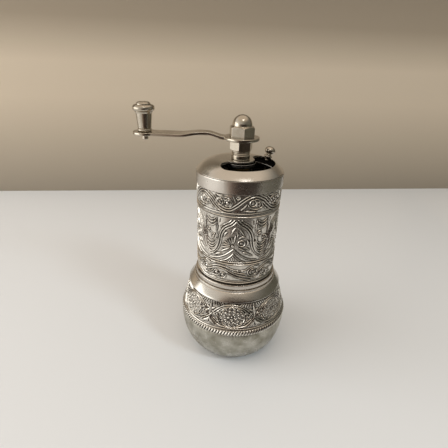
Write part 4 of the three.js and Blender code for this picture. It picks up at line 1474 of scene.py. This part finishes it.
@dataclass
class Shutter(Assembly):
    """Turning sheet under the cap, with its pin, washer and clip."""

    dome: Dome = Dome()
    thickness: float = 0.6
    radius: float = 15.0
    hub_radius: float = 6.3
    hole_radius: float = 4.4
    start: float = -8.0
    end: float = 205.0
    slant: float = 14.0
    pin_radius: float = 12.0
    pin_angle: float = 25.0
    pin_lean: float = 17.0
    washer: Point = (4.27, 6.0)
    clip: Point = (3.8, 5.2)
    clip_mouth: float = 4.6

    def build(self) -> None:
        """Builds and dresses the shutter's pieces."""
        self.plate()
        self.pin()
        self.washers()

    def under_cap(self, radii: Array | float) -> Array | float:
        """Height of the sheet's upper side."""
        return self.dome.underside(radii) - self.dome.gap

    def plate(self) -> None:
        """Builds the sheet as a hub with a wing, then gives it its thickness."""
        lead = math.radians(self.start + self.slant)
        tip = math.radians(self.start - self.slant)
        back = math.radians(self.end)
        wing_angles = np.linspace(lead, back, 90)
        all_angles = np.concatenate([wing_angles, np.linspace(back, lead + TURN, 66)[1:-1]])
        shape = Shape()
        hub_radii = np.linspace(self.hole_radius, self.hub_radius, 5)
        shape.grid(np.array([self.ring(radius, all_angles) for radius in hub_radii]), wrap_columns=True)
        first = np.array(polar(self.hub_radius, math.degrees(lead)))
        last = np.array(polar(self.radius, math.degrees(tip)))
        share = (wing_angles - lead) / (back - lead)
        wing = []
        for t in np.linspace(0, 1, 16):
            edge = first + (last - first) * t
            radius = self.hub_radius + (self.radius - self.hub_radius) * t
            start = math.atan2(edge[1], edge[0])
            radii = radius + (np.hypot(*edge) - radius) * np.clip(1 - share * 12, 0, 1)
            wing.append(self.ring(radii, start + (back - start) * share))
        shape.grid(np.array(wing))
        thing = shape.to_object("shutter_sheet", merge=True)
        if thing.data.polygons[0].normal.z < 0:
            thing.data.flip_normals()
        solid = thing.modifiers.new("sheet", "SOLIDIFY")
        solid.thickness = self.thickness * MM
        solid.offset = -1
        self.dress(shaded(thing, bevel=0.12, segments=2), Body.SHUTTER, SHEET_IN_PAINTED_SHADE, "shutter_plate")
        # The worn edges keep plain steel; the sheet's faces carry the painted shade.
        thing.data.materials.append(Metal.of(STEEL))
        thing.modifiers["worn_edges"].material = 1

    def ring(self, radii: Array | float, angles: Array) -> Array:
        """Places points under the cap at radii and angles."""
        radii = np.broadcast_to(radii, angles.shape)
        return np.stack([radii * np.cos(angles), radii * np.sin(angles), self.under_cap(radii)], -1)

    def pin(self) -> None:
        """Builds the turned pin and leans it outwards."""
        knob = arc((0, 4.15), 2.2, 1.65, -62, 90, 14)
        line = [(0, -1.2), (0.8, -1.2), *rounded([
            (0.8, 0.45), (1.3, 0.45, 0.1), (1.35, 1.1, 0.1), (1.75, 1.35, 0.25), (1.75, 1.85, 0.3),
            (1.15, 2.3, 0.15), (1.05, 2.6, 0.1), knob[0],
        ], closed=False), *knob[1:]]
        thing = Shape().revolve(line, 64).to_object("shutter_pin_turned")
        x, y = polar(self.pin_radius, self.pin_angle)
        place = Matrix.Translation(Vector((x, y, self.under_cap(self.pin_radius))) * MM)
        turn = Matrix.Rotation(math.radians(self.pin_angle), 4, "Z")
        lean = Matrix.Rotation(math.radians(self.pin_lean), 4, "Y")
        thing.data.transform(place @ turn @ lean)
        self.dress(shaded(thing), Body.SHUTTER, POLISHED, "shutter_pin")

    def washers(self) -> None:
        """Builds the washer and the open clip under the hub."""
        line = hoop("shutter_washer", *self.washer, 0.12)
        self.turned("shutter_washer_flat", line, Body.MILL, STEEL, "shutter_washer")
        size = extent("shutter_clip")
        clip = Shape().revolve(hoop("shutter_clip", *self.clip, 0.12)).to_object("shutter_clip_open")
        half = self.clip_mouth / 2
        mouth = bar("mouth", (-7, -half, size.bottom - 1), (-2, half, size.top + 1))
        clip = shaded(combine(clip, mouth), bevel=0.06, segments=2)
        self.dress(clip, Body.MILL, STEEL, "shutter_clip")


@dataclass
class Crank(Assembly):
    """Shaft, drive nut, arm, domed nut and the knob's pin."""

    shaft_radius: float = 2.5
    shaft_flats: float = 4.2
    flats_bottom_end: float = 50.6
    shank_radius: float = 3.73
    shank_top: float = 93.3
    drive_flats: float = 8.05
    drive_turn: float = 19.0
    acorn_flats: float = 9.0
    acorn_hex_height: float = 4.0
    acorn_dome_radius: float = 3.9
    arm_sheet: float = 1.2
    hub_radius: float = 7.1
    arm_end: float = 38.3
    eye_radius: float = 4.7
    eye_rise: float = 0.45
    neck_half_width: float = 2.4
    neck_place: float = 12.0
    blade_half_width: float = 3.9
    blade_place: float = 24.0
    hump_height: float = 1.5
    hump_place: float = 14.5
    hump_length: float = 11.5
    arm_edge: float = 0.28
    hex_columns: int = 168
    pin_radius: float = 1.2
    button_radius: float = 2.75
    button_height: float = 1.3
    button_edge: float = 0.6

    def build(self) -> None:
        """Builds and dresses the crank's pieces."""
        self.shaft()
        self.drive_nut()
        self.arm()
        self.acorn_nut()
        self.knob_pin()

    def shaft(self) -> None:
        """Builds the rod with its two pairs of flats."""
        size = extent("shaft")
        hub_bottom = extent("crank_arm").bottom
        r = self.shaft_radius
        steps = [size.bottom + 0.4, self.flats_bottom_end, self.flats_bottom_end + 0.01,
                 hub_bottom - 0.25, hub_bottom - 0.24, size.top - 0.4]
        line = [(0, size.bottom), (r - 0.4, size.bottom), *[(r, z) for z in steps], (r - 0.4, size.top),
                (0, size.top)]
        flatted = np.array([1, 1, 1, 1, 0, 0, 1, 1, 1, 1], bool)[:, None]

        def limit(radii: Array, angles: Array) -> Array:
            """Cuts the two flats over the flatted rows."""
            across = self.shaft_flats / 2 / np.maximum(np.abs(np.cos(angles)), 1e-3)
            return np.where(flatted, np.minimum(radii, across), radii)

        self.turned("shaft_rod", line, Body.CRANK, STEEL, "shaft", sharp=30, limit=limit)

    def drive_nut(self) -> None:
        """Builds the collar: a grooved shank under a hexagon."""
        size = extent("drive_nut")
        r, top, flats = self.shank_radius, self.shank_top, self.drive_flats
        grooves = [(r - depth, top - drop - up, edge) for drop in (1.5, 0.8)
                   for depth, up, edge in ((0, 0.3, 0.08), (0.22, 0, 0.1), (0, -0.3, 0.08))]
        bore = self.shaft_radius + 0.05
        corner = flats / math.sqrt(3) + 0.15
        line = rounded([
            (bore, size.bottom, 0.1), (r, size.bottom, 0.2), *grooves, (r, top, 0.12),
            (flats / 2 - 0.05, top + 0.02, 0.12), (corner, top + 0.5, 0.1), (corner, size.top, 0.0),
            (bore, size.top, 0.1),
        ])
        self.turned("drive_nut_hex", densify(line, 0.35), Body.CRANK, POLISHED, "drive_nut", self.hex_columns,
                    35, limit=hexagon(flats, self.drive_turn))

    def acorn_nut(self) -> None:
        """Builds the domed nut."""
        size = extent("acorn_nut")
        dome, flats = self.acorn_dome_radius, self.acorn_flats
        hex_top = size.bottom + self.acorn_hex_height
        corner = flats / math.sqrt(3) + 0.15
        cap = arc((0, size.top - dome), dome, dome, 0, 90, 22)
        bore = self.shaft_radius + 0.05
        bore_top = extent("shaft").top + 0.6
        outside = rounded([
            (bore, size.bottom), (corner, size.bottom, 0.12), (corner, hex_top - 0.55, 0.1),
            (flats / 2 - 0.12, hex_top + 0.02, 0.15), (dome + 0.1, hex_top + 0.1, 0.12),
            (dome, hex_top + 0.25, 0.1), cap[0],
        ], closed=False)
        line = [(0, bore_top), (bore, bore_top), *densify([*outside, *cap[1:]], 0.35)]
        self.turned("acorn_nut_domed", line, Body.CRANK, POLISHED, "acorn_nut", self.hex_columns, 35,
                    limit=hexagon(flats, -self.drive_turn))

    def half_width(self, distance: Array) -> Array:
        """Gives the arm's half width in plan.

        Args:
            distance: Distances from the axis.

        Returns:
            The half widths.
        """
        t = np.clip((distance - self.neck_place) / (self.blade_place - self.neck_place), 0, 1)
        strip = self.neck_half_width + (self.blade_half_width - self.neck_half_width) * t * t * (3 - 2 * t)
        strip = np.where((distance > 0) & (distance < self.arm_end), strip, 0)
        hub = np.sqrt(np.maximum(0, self.hub_radius ** 2 - distance ** 2))
        eye = np.sqrt(np.maximum(0, self.eye_radius ** 2 - (distance - self.arm_end) ** 2))
        return np.maximum(np.maximum(strip, hub), eye)

    def middle_height(self, distance: Array) -> Array:
        """Gives the height of the middle of the arm's sheet.

        Args:
            distance: Distances from the axis.

        Returns:
            The heights.
        """
        def ease(start: float, stop: float) -> Array:
            """Rises smoothly from 0 to 1 between two distances."""
            t = np.clip((distance - start) / (stop - start), 0, 1)
            return t * t * t * (t * (6 * t - 15) + 10)

        hub_middle = extent("crank_arm").bottom + self.arm_sheet / 2
        rise = ease(0.8 * self.hub_radius, self.hump_place)
        fall = ease(self.hump_place, self.hump_place + self.hump_length)
        return hub_middle + self.hump_height * rise - (self.hump_height - self.eye_rise) * fall

    def arm(self) -> None:
        """Builds the bent strip from rings round its outline and crosswise rows."""
        ends = np.cos(np.radians(np.linspace(180, 0, 61)))
        blade = np.linspace(self.hub_radius, self.arm_end, 70)[1:-1]
        distance = np.concatenate([ends * self.hub_radius, blade, self.arm_end + ends[30:] * self.eye_radius])
        distance = np.unique(np.round(distance, 5))
        width = self.half_width(distance)
        width[0] = width[-1] = 0
        along, rise = np.gradient(distance), np.gradient(width)
        norm = np.hypot(along, rise)
        out_s, out_y = -rise / norm, along / norm
        out_s[0], out_y[0], out_s[-1], out_y[-1] = -1, 0, 1, 0
        shape = Shape()
        half, edge = self.arm_sheet / 2, self.arm_edge
        rings = []
        for angle in range(90, -91, -15):
            turn = math.radians(angle)
            inset = edge * (1 - math.cos(turn))
            height = edge * math.sin(turn) + (math.copysign(half - edge, angle) if angle else 0)
            s, y = distance - inset * out_s, np.maximum(width - inset * out_y, 0)
            rings.append(np.concatenate([self.on_arm(s, y, height), self.on_arm(s, -y, height)[-2:0:-1]]))
        shape.grid(np.array(rings), wrap_columns=True)
        s, y = distance - edge * out_s, np.maximum(width - edge * out_y, 0)
        for height in (half, -half):
            rows = [self.on_arm(s, y * v, height) for v in np.linspace(1, -1, 9) * math.copysign(1, height)]
            shape.grid(np.array(rows))
        thing = shape.to_object("crank_strip", merge=True)
        low = extent("crank_arm").bottom
        thing = combine(thing, rod("bore", self.shaft_radius + 0.02, low - 1, low + 3))
        eye = rod("eye", self.pin_radius + 0.05, low - 1, low + 4, 32, (-self.arm_end, 0))
        thing = combine(thing, eye)
        self.dress(shaded(thing, sharp=35), Body.CRANK, POLISHED, "crank_arm")

    def on_arm(self, distance: Array, aside: Array, height: float) -> Array:
        """Places points on the arm from distances, offsets and heights over its middle."""
        return np.stack([-distance, aside, self.middle_height(distance) + height], -1)

    def knob_pin(self) -> None:
        """Builds the pin with its button head and riveted tail."""
        size = extent("knob_pin")
        r, head = self.pin_radius, self.button_radius
        seat = size.top - self.button_height
        line = rounded([
            (0, size.bottom), (r - 0.35, size.bottom, 0.1), (r, size.bottom + 0.35, 0.1), (r, seat, 0.05),
            (head, seat, 0.1), (head, seat + self.button_edge, 0.25), (head - 0.5, size.top - 0.15, 0.35),
            (head - 1.0, size.top, 0.3), (0, size.top),
        ], closed=False)
        self.turned("knob_pin_turned", line, Body.CRANK, POLISHED, "knob_pin", centre=(-self.arm_end, 0))


def densify(line: Line, step: float) -> list[Point]:
    """Splits the long stretches of an outline.

    Args:
        line: Points of the outline.
        step: Longest stretch wanted.

    Returns:
        The same outline with more points.
    """
    dense: list[Point] = []
    for a, b in zip(line, line[1:]):
        count = max(1, math.ceil(math.dist(a, b) / step))
        dense += [(a[0] + (b[0] - a[0]) * k / count, a[1] + (b[1] - a[1]) * k / count) for k in range(count)]
    return [*dense, line[-1]]


@dataclass
class Knob(Assembly):
    """Turned knob: bead, groove, flaring stem and rounded head."""

    centre: float = -38.3
    bore: float = 1.32
    bead_radius: float = 2.9
    foot_radius: float = 2.6
    neck_radius: float = 3.15
    head_radius: float = 4.27
    head_height: float = 2.5
    head_round: float = 1.25
    dish_radius: float = 2.95
    dish_depth: float = 0.4

    def build(self) -> None:
        """Builds and dresses the knob."""
        size = extent("knob_grip")
        bottom, top = size.bottom, size.top
        bead, foot, neck = self.bead_radius, self.foot_radius, self.neck_radius
        shoulder, floor = top - self.head_height, top - self.dish_depth
        centre = (self.head_radius - self.head_round, top - self.head_height / 2)
        head = arc(centre, self.head_round, self.head_height / 2, -75, 80, 14)
        stem = rounded([
            (self.bore, bottom, 0.05), (bead - 0.2, bottom, 0.3), (bead, bottom + 0.45, 0.35),
            (bead - 0.2, bottom + 0.9, 0.25), (foot - 0.25, bottom + 0.95, 0.08), (foot, bottom + 1.2, 0.12),
            (neck, shoulder - 0.6, 0.3), (neck + 0.3, shoulder - 0.05, 0.2), head[0],
        ], closed=False)
        dish = rounded([
            head[-1], (self.dish_radius + 0.03, top, 0.12), (self.dish_radius, floor, 0.05),
            (self.bore, floor),
        ], closed=False)
        line = [*stem, *head[1:-1], *dish]
        self.turned("knob_turned", line, Body.KNOB, POLISHED, "knob_grip", 128, centre=(self.centre, 0))


@dataclass
class Burrs(Assembly):
    """Grinding ring and cone, their carrier, bushes, screws, spring and nut."""

    teeth: int = 24
    facets: int = 12
    twist: float = 26.0
    tooth_depth: float = 0.7
    flutes: int = 6
    flute_depth: float = 1.6
    cone_radius: float = 10.6
    cone_top_radius: float = 5.4
    cone_curve: float = 1.15
    ring_radius: float = 15.05
    mouth_radius: float = 12.2
    throat: float = 3.0
    bore_gap: float = 0.3
    steepness: float = 0.55
    screw_circle: float = 13.0
    screw_radius: float = 0.95
    screws: int = 3
    bore: float = 2.62
    rim_height: float = 5.4
    rim_width: float = 1.3
    hub_radius: float = 4.7
    hub_height: float = 4.6
    hub_bore: float = 3.47
    arm_half: float = 1.6
    boss_radius: float = 2.0
    hole_depth: float = 4.72
    bush_radius: float = 3.42
    washer_radius: float = 4.9
    wire_radius: float = 0.4
    coil_radius: float = 3.9
    coil_turns: float = 2.5
    lobes: int = 8
    scallop: float = 1.5
    nut_radius: float = 7.0
    nut_rim: float = 2.6
    nut_neck: float = 4.2
    head_radius: float = 1.6
    head_height: float = 1.3
    slot_width: float = 0.44
    slot_depth: float = 0.55

    @property
    def columns(self) -> int:
        """Points round a toothed piece."""
        return self.teeth * self.facets

    @property
    def turns(self) -> Array:
        """Places of these points as shares of a turn."""
        return np.arange(self.columns) / self.columns

    @property
    def screw_angles(self) -> list[float]:
        """Places of the screws in degrees."""
        return [90 + 360 * k / self.screws for k in range(self.screws)]

    def build(self) -> None:
        """Builds and dresses everything of the grinder."""
        self.outer_burr()
        self.inner_burr()
        self.bridge()
        self.bridge_bush()
        self.spring()
        self.adjusting_nut()
        for number, angle in enumerate(self.screw_angles, 1):
            self.screw(number, angle)

    def saw(self, turns: Array) -> Array:
        """Sawtooth wave from 1 down to 0, with a short steep side."""
        share = np.mod(turns + 0.03, 1)
        return np.where(share < 0.9, 1 - share / 0.9, (share - 0.9) / 0.1)

    def drilled(self, thing: Thing, low: float, high: float) -> Thing:
        """Drills the screws' holes.

        Args:
            thing: The piece to drill.
            low: Lower end of the holes.
            high: Upper end of the holes.

        Returns:
            The drilled piece.
        """
        for angle in self.screw_angles:
            hole = rod("hole", self.screw_radius + 0.12, low, high, 24, polar(self.screw_circle, angle))
            thing = combine(thing, hole)
        return thing

    def outer_burr(self) -> None:
        """Builds the ring whose bore carries slanting teeth."""
        size = extent("outer_burr")
        slope = self.steepness * (self.cone_radius - self.cone_top_radius) / 10
        heights = np.linspace(size.top - self.throat, size.bottom, 24)
        bore = [(self.cone_radius + self.bore_gap - slope * (z - size.bottom - 0.2), z) for z in heights]
        outer = self.ring_radius
        line = [(outer, size.bottom), (outer, size.top), (self.mouth_radius, size.top), *bore]
        lean = self.twist / 360 * (heights - size.bottom) / (size.top - size.bottom)
        relief = np.zeros((len(line), self.columns))
        relief[3:] = self.tooth_depth * (1 - self.saw((self.turns - lean[:, None]) * self.teeth))
        thing = Shape().revolve(line, self.columns, relief=relief).to_object("outer_burr_toothed")
        thing = self.drilled(thing, size.bottom - 1, size.top + 1)
        self.dress(shaded(thing, sharp=35), Body.MILL, IRON, "outer_burr")

    def inner_burr(self) -> None:
        """Builds the cone with fine teeth below and deep flutes above."""
        size = extent("inner_burr")
        share = np.linspace(0, 1, 26)
        radii = self.cone_radius + (self.cone_top_radius - self.cone_radius) * share ** self.cone_curve
        heights = size.bottom + (size.top - size.bottom) * share
        line = [(self.bore, size.bottom), *zip(radii, heights), (self.bore, size.top)]
        up = share[:, None]
        place = self.turns + self.twist / 360 * up
        teeth = self.tooth_depth * (1 - self.saw(place * self.teeth)) * (1 - up)
        flutes = self.flute_depth * (1 - self.saw(place * self.flutes)) * up
        relief = np.zeros((len(line), self.columns))
        relief[1:-1] = -teeth - flutes
        self.turned("inner_burr_toothed", line, Body.CONE, IRON, "inner_burr", self.columns, 35,
                    relief=relief)

    def bridge(self) -> None:
        """Builds the three-armed carrier on the burr."""
        size = extent("shaft_bridge")
        low, high, radius = size.bottom, size.bottom + self.rim_height, size.radius
        hub_low, half, inner = size.top - self.hub_height, self.arm_half, radius - self.rim_width
        rim = [(inner, low), (radius, low), (radius, high), (inner, high)]
        thing = Shape().revolve(rim, 96).to_object("shaft_bridge_cast")
        thing = combine(thing, rod("hub", self.hub_radius, hub_low, size.top, 64), "UNION")
        for angle in self.screw_angles:
            arm = bar("arm", (0, -half, hub_low), (radius - 0.7, half, high), angle)
            thing = combine(thing, arm, "UNION")
            boss = rod("boss", self.boss_radius, low, high, 32, polar(self.screw_circle, angle))
            thing = combine(thing, boss, "UNION")
        thing = combine(thing, rod("bore", self.hub_bore, low - 1, size.top + 1, 64))
        thing = self.drilled(thing, low - 1, low + self.hole_depth)
        self.dress(shaded(thing, bevel=0.15, segments=2), Body.MILL, IRON, "shaft_bridge")

    def bridge_bush(self) -> None:
        """Builds the brass bush and the spring's washer under it."""
        size = extent("bridge_bush")
        bore, radius = self.bore, self.bush_radius
        line = rounded([(bore, size.bottom, 0.12), (radius, size.bottom, 0.08), (radius, size.top, 0.08),
                        (bore, size.top, 0.15)])
        self.turned("bridge_bush_turned", line, Body.MILL, BRASS, "bridge_bush", 64)
        line = hoop("spring_washer", bore, self.washer_radius, 0.1)
        self.turned("spring_washer_flat", line, Body.CRANK, STEEL, "spring_washer", 64)

    def spring(self) -> None:
        """Builds the coil spring between the crank and the cone."""
        size = extent("burr_spring")
        wire, radius = self.wire_radius, self.coil_radius
        share = np.linspace(0, 1, 120)
        angle = TURN * self.coil_turns * share
        height = size.bottom + wire + (size.top - size.bottom - 2 * wire) * share
        path = np.stack([radius * np.cos(angle), radius * np.sin(angle), height], -1)
        along = np.gradient(path, axis=0)
        along /= np.linalg.norm(along, axis=1)[:, None]
        outward = np.stack([np.cos(angle), np.sin(angle), np.zeros_like(angle)], -1)
        up = np.cross(along, outward)
        circle = TURN * np.arange(16) / 16
        tube = (path[:, None] + wire * (outward[:, None] * np.cos(circle)[None, :, None]
                                        + up[:, None] * np.sin(circle)[None, :, None]))
        shape = Shape()
        numbers = shape.grid(tube, wrap_columns=True)
        shape.fan(numbers[0], path[0], inwards=True)
        shape.fan(numbers[-1], path[-1], inwards=False)
        thing = shaded(shape.to_object("burr_spring_coil"))
        thing.data.materials.append(Metal.of(STEEL))
        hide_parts("burr_spring")
        size.top * MM
        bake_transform(thing)
        log.info("%s: %d faces between crank and cone", thing.name, len(thing.data.polygons))

    def adjusting_nut(self) -> None:
        """Builds the finger nut with its scalloped edge."""
        size = extent("adjusting_nut")
        bore, neck, radius, step = self.bore, self.nut_neck, self.nut_radius, size.bottom + self.nut_rim
        line = rounded([
            (bore, size.bottom, 0.15), (radius, size.bottom, 0.3), (radius, step, 0.3), (neck, step, 0.15),
            (neck, size.top, 0.15), (bore, size.top, 0.1),
        ])

        def limit(radii: Array, angles: Array) -> Array:
            """Scallops the outer edge."""
            edge = radius - self.scallop * (0.5 - 0.5 * np.cos(angles * self.lobes)) ** 2
            return np.where(radii > neck + 0.8, np.minimum(radii, edge - (radius - radii)), radii)

        self.turned("adjusting_nut_scalloped", line, Body.ADJUSTER, BRASS, "adjusting_nut", 192, limit=limit)

    def screw(self, number: int, angle: float) -> None:
        """Builds one slotted screw.

        Args:
            number: Its number, from 1.
            angle: Its place on the circle in degrees.
        """
        node = f"burr_screw_{number}"
        size = extent(node)
        r, head, seat = self.screw_radius, self.head_radius, size.bottom + self.head_height
        line = rounded([
            (0, size.bottom), (head, size.bottom, 0.3), (head, seat, 0.1), (r, seat, 0.05),
            (r, size.top - 0.3, 0.1), (r - 0.3, size.top, 0.05), (0, size.top),
        ], closed=False)
        thing = Shape().revolve(line, 48).to_object(f"{node}_slotted")
        half = self.slot_width / 2
        cut = bar("cut", (-4, -half, size.bottom - 1), (4, half, size.bottom + self.slot_depth))
        thing = combine(thing, cut)
        thing.data.transform(Matrix.Translation(Vector((*polar(self.screw_circle, angle), 0)) * MM))
        self.dress(shaded(thing, sharp=35), Body.MILL, STEEL, node)


@dataclass(frozen=True)
class Lamp:
    """A soft lamp: its direction and distance from the mill, size, strength and reflection."""

    name: str
    azimuth: float
    elevation: float
    distance: float
    width: float
    height: float
    power: float
    colour: Colour = (1.0, 1.0, 1.0)
    mirrored: bool = True


@dataclass
class Studio:
    """Pale table against a warm wall, soft lamps and the camera."""

    table_back: float = 216.0
    table_turn: float = 9.5
    table_side: float = 1500.0
    wall_height: float = 220.0
    wall_top: float = 320.0
    # The wall's colour steps paint it darker towards its foot and its top: painted shade.
    wall_shade_steps: tuple[tuple[float, Colour], ...] = (
        (0.0, (0.285, 0.243, 0.188)), (90.0, (0.545, 0.455, 0.348)), (120.0, (0.545, 0.455, 0.348)),
        (155.0, (0.30, 0.245, 0.18)), (220.0, (0.21, 0.17, 0.125)),
    )
    table_colour: Colour = (0.72, 0.735, 0.75)
    table_roughness: float = 0.45
    wall_roughness: float = 0.85
    card_y: float = -118.0
    card_span: Point = (-75.0, 170.0)
    card_top: float = 128.0
    card_steps: tuple[tuple[float, Colour], ...] = (
        (0.0, (1.0, 0.95, 0.90)), (0.1, (0.50, 0.41, 0.37)), (0.21, (0.14, 0.088, 0.073)),
        (0.31, (0.058, 0.036, 0.030)), (0.8, (0.055, 0.040, 0.033)), (1.0, (0.15, 0.14, 0.12)),
    )
    right_corner: Point = (190.0, 260.0)
    right_top: float = 120.0
    right_colour: Colour = (0.15, 0.15, 0.125)
    right_roughness: float = 0.9
    room_colour: Colour = (1.08, 1.03, 0.96)
    room_right: Colour = (0.25, 0.24, 0.21)
    room_above: Colour = (0.95, 0.81, 0.66)
    room_sides: Point = (-0.8, 0.6)
    room_heights: Point = (0.55, 0.85)
    room_strength: float = 0.9
    target_height: float = 60.0
    focal_pixels: float = 350.0
    picture_size: float = 448.0
    sensor_width: float = 36.0
    clip: Point = (0.005, 20.0)
    camera_distance: float = 138.76757
    camera_height: float = 125.72179
    yaw: float = -0.04103863
    pitch: float = 0.44031296
    roll: float = 0.03670716
    lamps: tuple[Lamp, ...] = (
        Lamp("window", -78, 6, 600, 700, 350, 1.65, (1.0, 0.99, 0.97)),
        Lamp("sky", -80, 35, 420, 300, 300, 0.42, (0.98, 0.99, 1.0), mirrored=False),
        Lamp("daylight", 55, 38, 600, 110, 110, 0.9, (0.82, 0.93, 1.0), mirrored=False),
        Lamp("glint", 20, 64, 600, 190, 60, 0.2),
        Lamp("ceiling", -40, 75, 700, 420, 420, 0.15, (0.97, 0.98, 1.0), mirrored=False),
    )

    def build(self) -> None:
        """Builds everything round the mill."""
        self.camera()
        self.table_and_wall()
        self.cards()
        for lamp in self.lamps:
            self.lamp(lamp)
        self.world()
        bpy.context.scene.view_settings.view_transform = "Standard"

    def camera(self) -> None:
        """Places the camera at the photograph's view."""
        data = bpy.data.cameras.new("camera")
        data.sensor_width = self.sensor_width
        data.lens = self.sensor_width * self.focal_pixels / self.picture_size
        data.clip_start, data.clip_end = self.clip
        camera = bpy.data.objects.new("camera", data)
        place = Matrix.Translation(Vector((0, -self.camera_distance, self.camera_height)) * MM)
        for angle, axis in ((-self.yaw, "Z"), (math.pi / 2 - self.pitch, "X"), (self.roll, "Z")):
            place = place @ Matrix.Rotation(angle, 4, axis)
        camera.matrix_world = place
        bpy.context.scene.collection.objects.link(camera)
        bpy.context.scene.camera = camera

    def sheet(self, name: str, corners: Sequence[Sequence[float]]) -> Thing:
        """Makes a flat four-cornered stage piece.

        Args:
            name: Name of the piece.
            corners: Its four corners in order.

        Returns:
            The piece.
        """
        mesh = bpy.data.meshes.new(name)
        mesh.from_pydata([Vector(c) * MM for c in corners], [], [(0, 1, 2, 3)])
        thing = bpy.data.objects.new(name, mesh)
        bpy.context.scene.collection.objects.link(thing)
        return thing

    def plain(self, name: str, colour: Colour, roughness: float) -> bpy.types.Material:
        """Makes a matt material for the stage.

        Args:
            name: Name of the material.
            colour: Its colour.
            roughness: Its roughness.

        Returns:
            The material.
        """
        material = bpy.data.materials.new(name)
        material.use_nodes = True
        shader = material.node_tree.nodes["Principled BSDF"]
        shader.inputs["Base Color"].default_value = (*colour, 1)
        shader.inputs["Roughness"].default_value = roughness
        return material

    def table_and_wall(self) -> None:
        """Makes the table top and the wall behind it, the wall painted darker towards its foot and its top as
        painted shade.
        """
        side = self.table_side
        slope = math.tan(math.radians(self.table_turn))
        left, right = self.table_back - side * slope, self.table_back + side * slope
        table = self.sheet("table", [(-side, -side, 0), (side, -side, 0), (side, right, 0), (-side, left, 0)])
        table.data.materials.append(self.plain("table_top", self.table_colour, self.table_roughness))
        (a, b), low, top = ((-side, left), (side, right)), -1, self.wall_top
        wall = self.sheet("wall", [(*a, low), (*b, low), (*b, top), (*a, top)])
        steps = [(height / self.wall_height, colour) for height, colour in self.wall_shade_steps]
        wall.data.materials.append(self.ramped("wall_painted_shade", "Z", (0, self.wall_height), steps))

    def ramped(self, name: str, axis: str, span: Point,
               steps: Sequence[tuple[float, Colour]]) -> bpy.types.Material:
        """Makes a matt material whose colour changes along an axis.

        Args:
            name: Name of the material.
            axis: X, Y or Z.
            span: Places of the ramp's start and end.
            steps: Shares of the span with their colours.

        Returns:
            The material.
        """
        _, colour = steps[1]
        material = self.plain(name, colour, self.wall_roughness)
        nodes = Nodes(material.node_tree)
        ramp = nodes.node("ShaderNodeValToRGB")
        stops = ramp.color_ramp.elements
        while len(stops) < len(steps):
            stops.new(0.5)
        for stop, (place, colour) in zip(stops, steps):
            stop.position = place
            stop.color = (*colour, 1)
        share = nodes.ranged(nodes.parts("Object").outputs[axis], span[0] * MM, span[1] * MM)
        nodes.link(share, ramp.inputs["Fac"])
        nodes.link(ramp.outputs["Color"], nodes.tree.nodes["Principled BSDF"].inputs["Base Color"])
        return material

    def cards(self) -> None:
        """Makes the dark cards in front and at the right, which only reflections show."""
        (low, high), y, top = self.card_span, self.card_y, self.card_top
        front = self.sheet("front_card", [(low, y, 0), (high, y, 0), (high, y, top), (low, y, top)])
        front.data.materials.append(self.ramped("brown_card", "X", self.card_span, self.card_steps))
        far, top = self.right_corner, self.right_top
        right = self.sheet("right_card", [(high, y, 0), (*far, 0), (*far, top), (high, y, top)])
        right.data.materials.append(self.plain("grey_card", self.right_colour, self.right_roughness))
        for card in (front, right):
            card.visible_camera = False
            card.visible_shadow = False
            card.visible_diffuse = False

    def lamp(self, lamp: Lamp) -> None:
        """Hangs one soft lamp, aimed at the mill.

        Args:
            lamp: What to hang.
        """
        data = bpy.data.lights.new(lamp.name, "AREA")
        data.shape = "RECTANGLE"
        data.size = lamp.width * MM
        data.size_y = lamp.height * MM
        data.energy = lamp.power
        data.color = lamp.colour
        azimuth, elevation = math.radians(lamp.azimuth), math.radians(lamp.elevation)
        way = Vector((math.sin(azimuth) * math.cos(elevation), -math.cos(azimuth) * math.cos(elevation),
                      math.sin(elevation)))
        thing = bpy.data.objects.new(lamp.name, data)
        thing.location = (way * lamp.distance + Vector((0, 0, self.target_height))) * MM
        thing.rotation_euler = way.to_track_quat("Z", "Y").to_euler()
        thing.visible_glossy = lamp.mirrored
        bpy.context.scene.collection.objects.link(thing)

    def world(self) -> None:
        """Sets a soft room light, darker on the right and warmer above."""
        world = bpy.data.worlds.new("room")
        bpy.context.scene.world = world
        world.use_nodes = True
        background = world.node_tree.nodes["Background"]
        background.inputs["Strength"].default_value = self.room_strength
        nodes = Nodes(world.node_tree)
        side, _, height = nodes.parts("Generated").outputs
        colour = nodes.mixed(nodes.ranged(side, *self.room_sides), self.room_colour, self.room_right)
        colour = nodes.mixed(nodes.ranged(height, *self.room_heights), colour, self.room_above)
        nodes.link(colour, background.inputs["Color"])


def main() -> None:
    """Builds the studio and every sub-assembly."""
    logging.basicConfig(level=logging.INFO, format="%(name)s: %(message)s")
    Studio().build()
    for assembly in (Jar(), Tube(), Cap(), Shutter(), Crank(), Knob(), Burrs()):
        assembly.build()


if __name__ == "__main__":
    main()
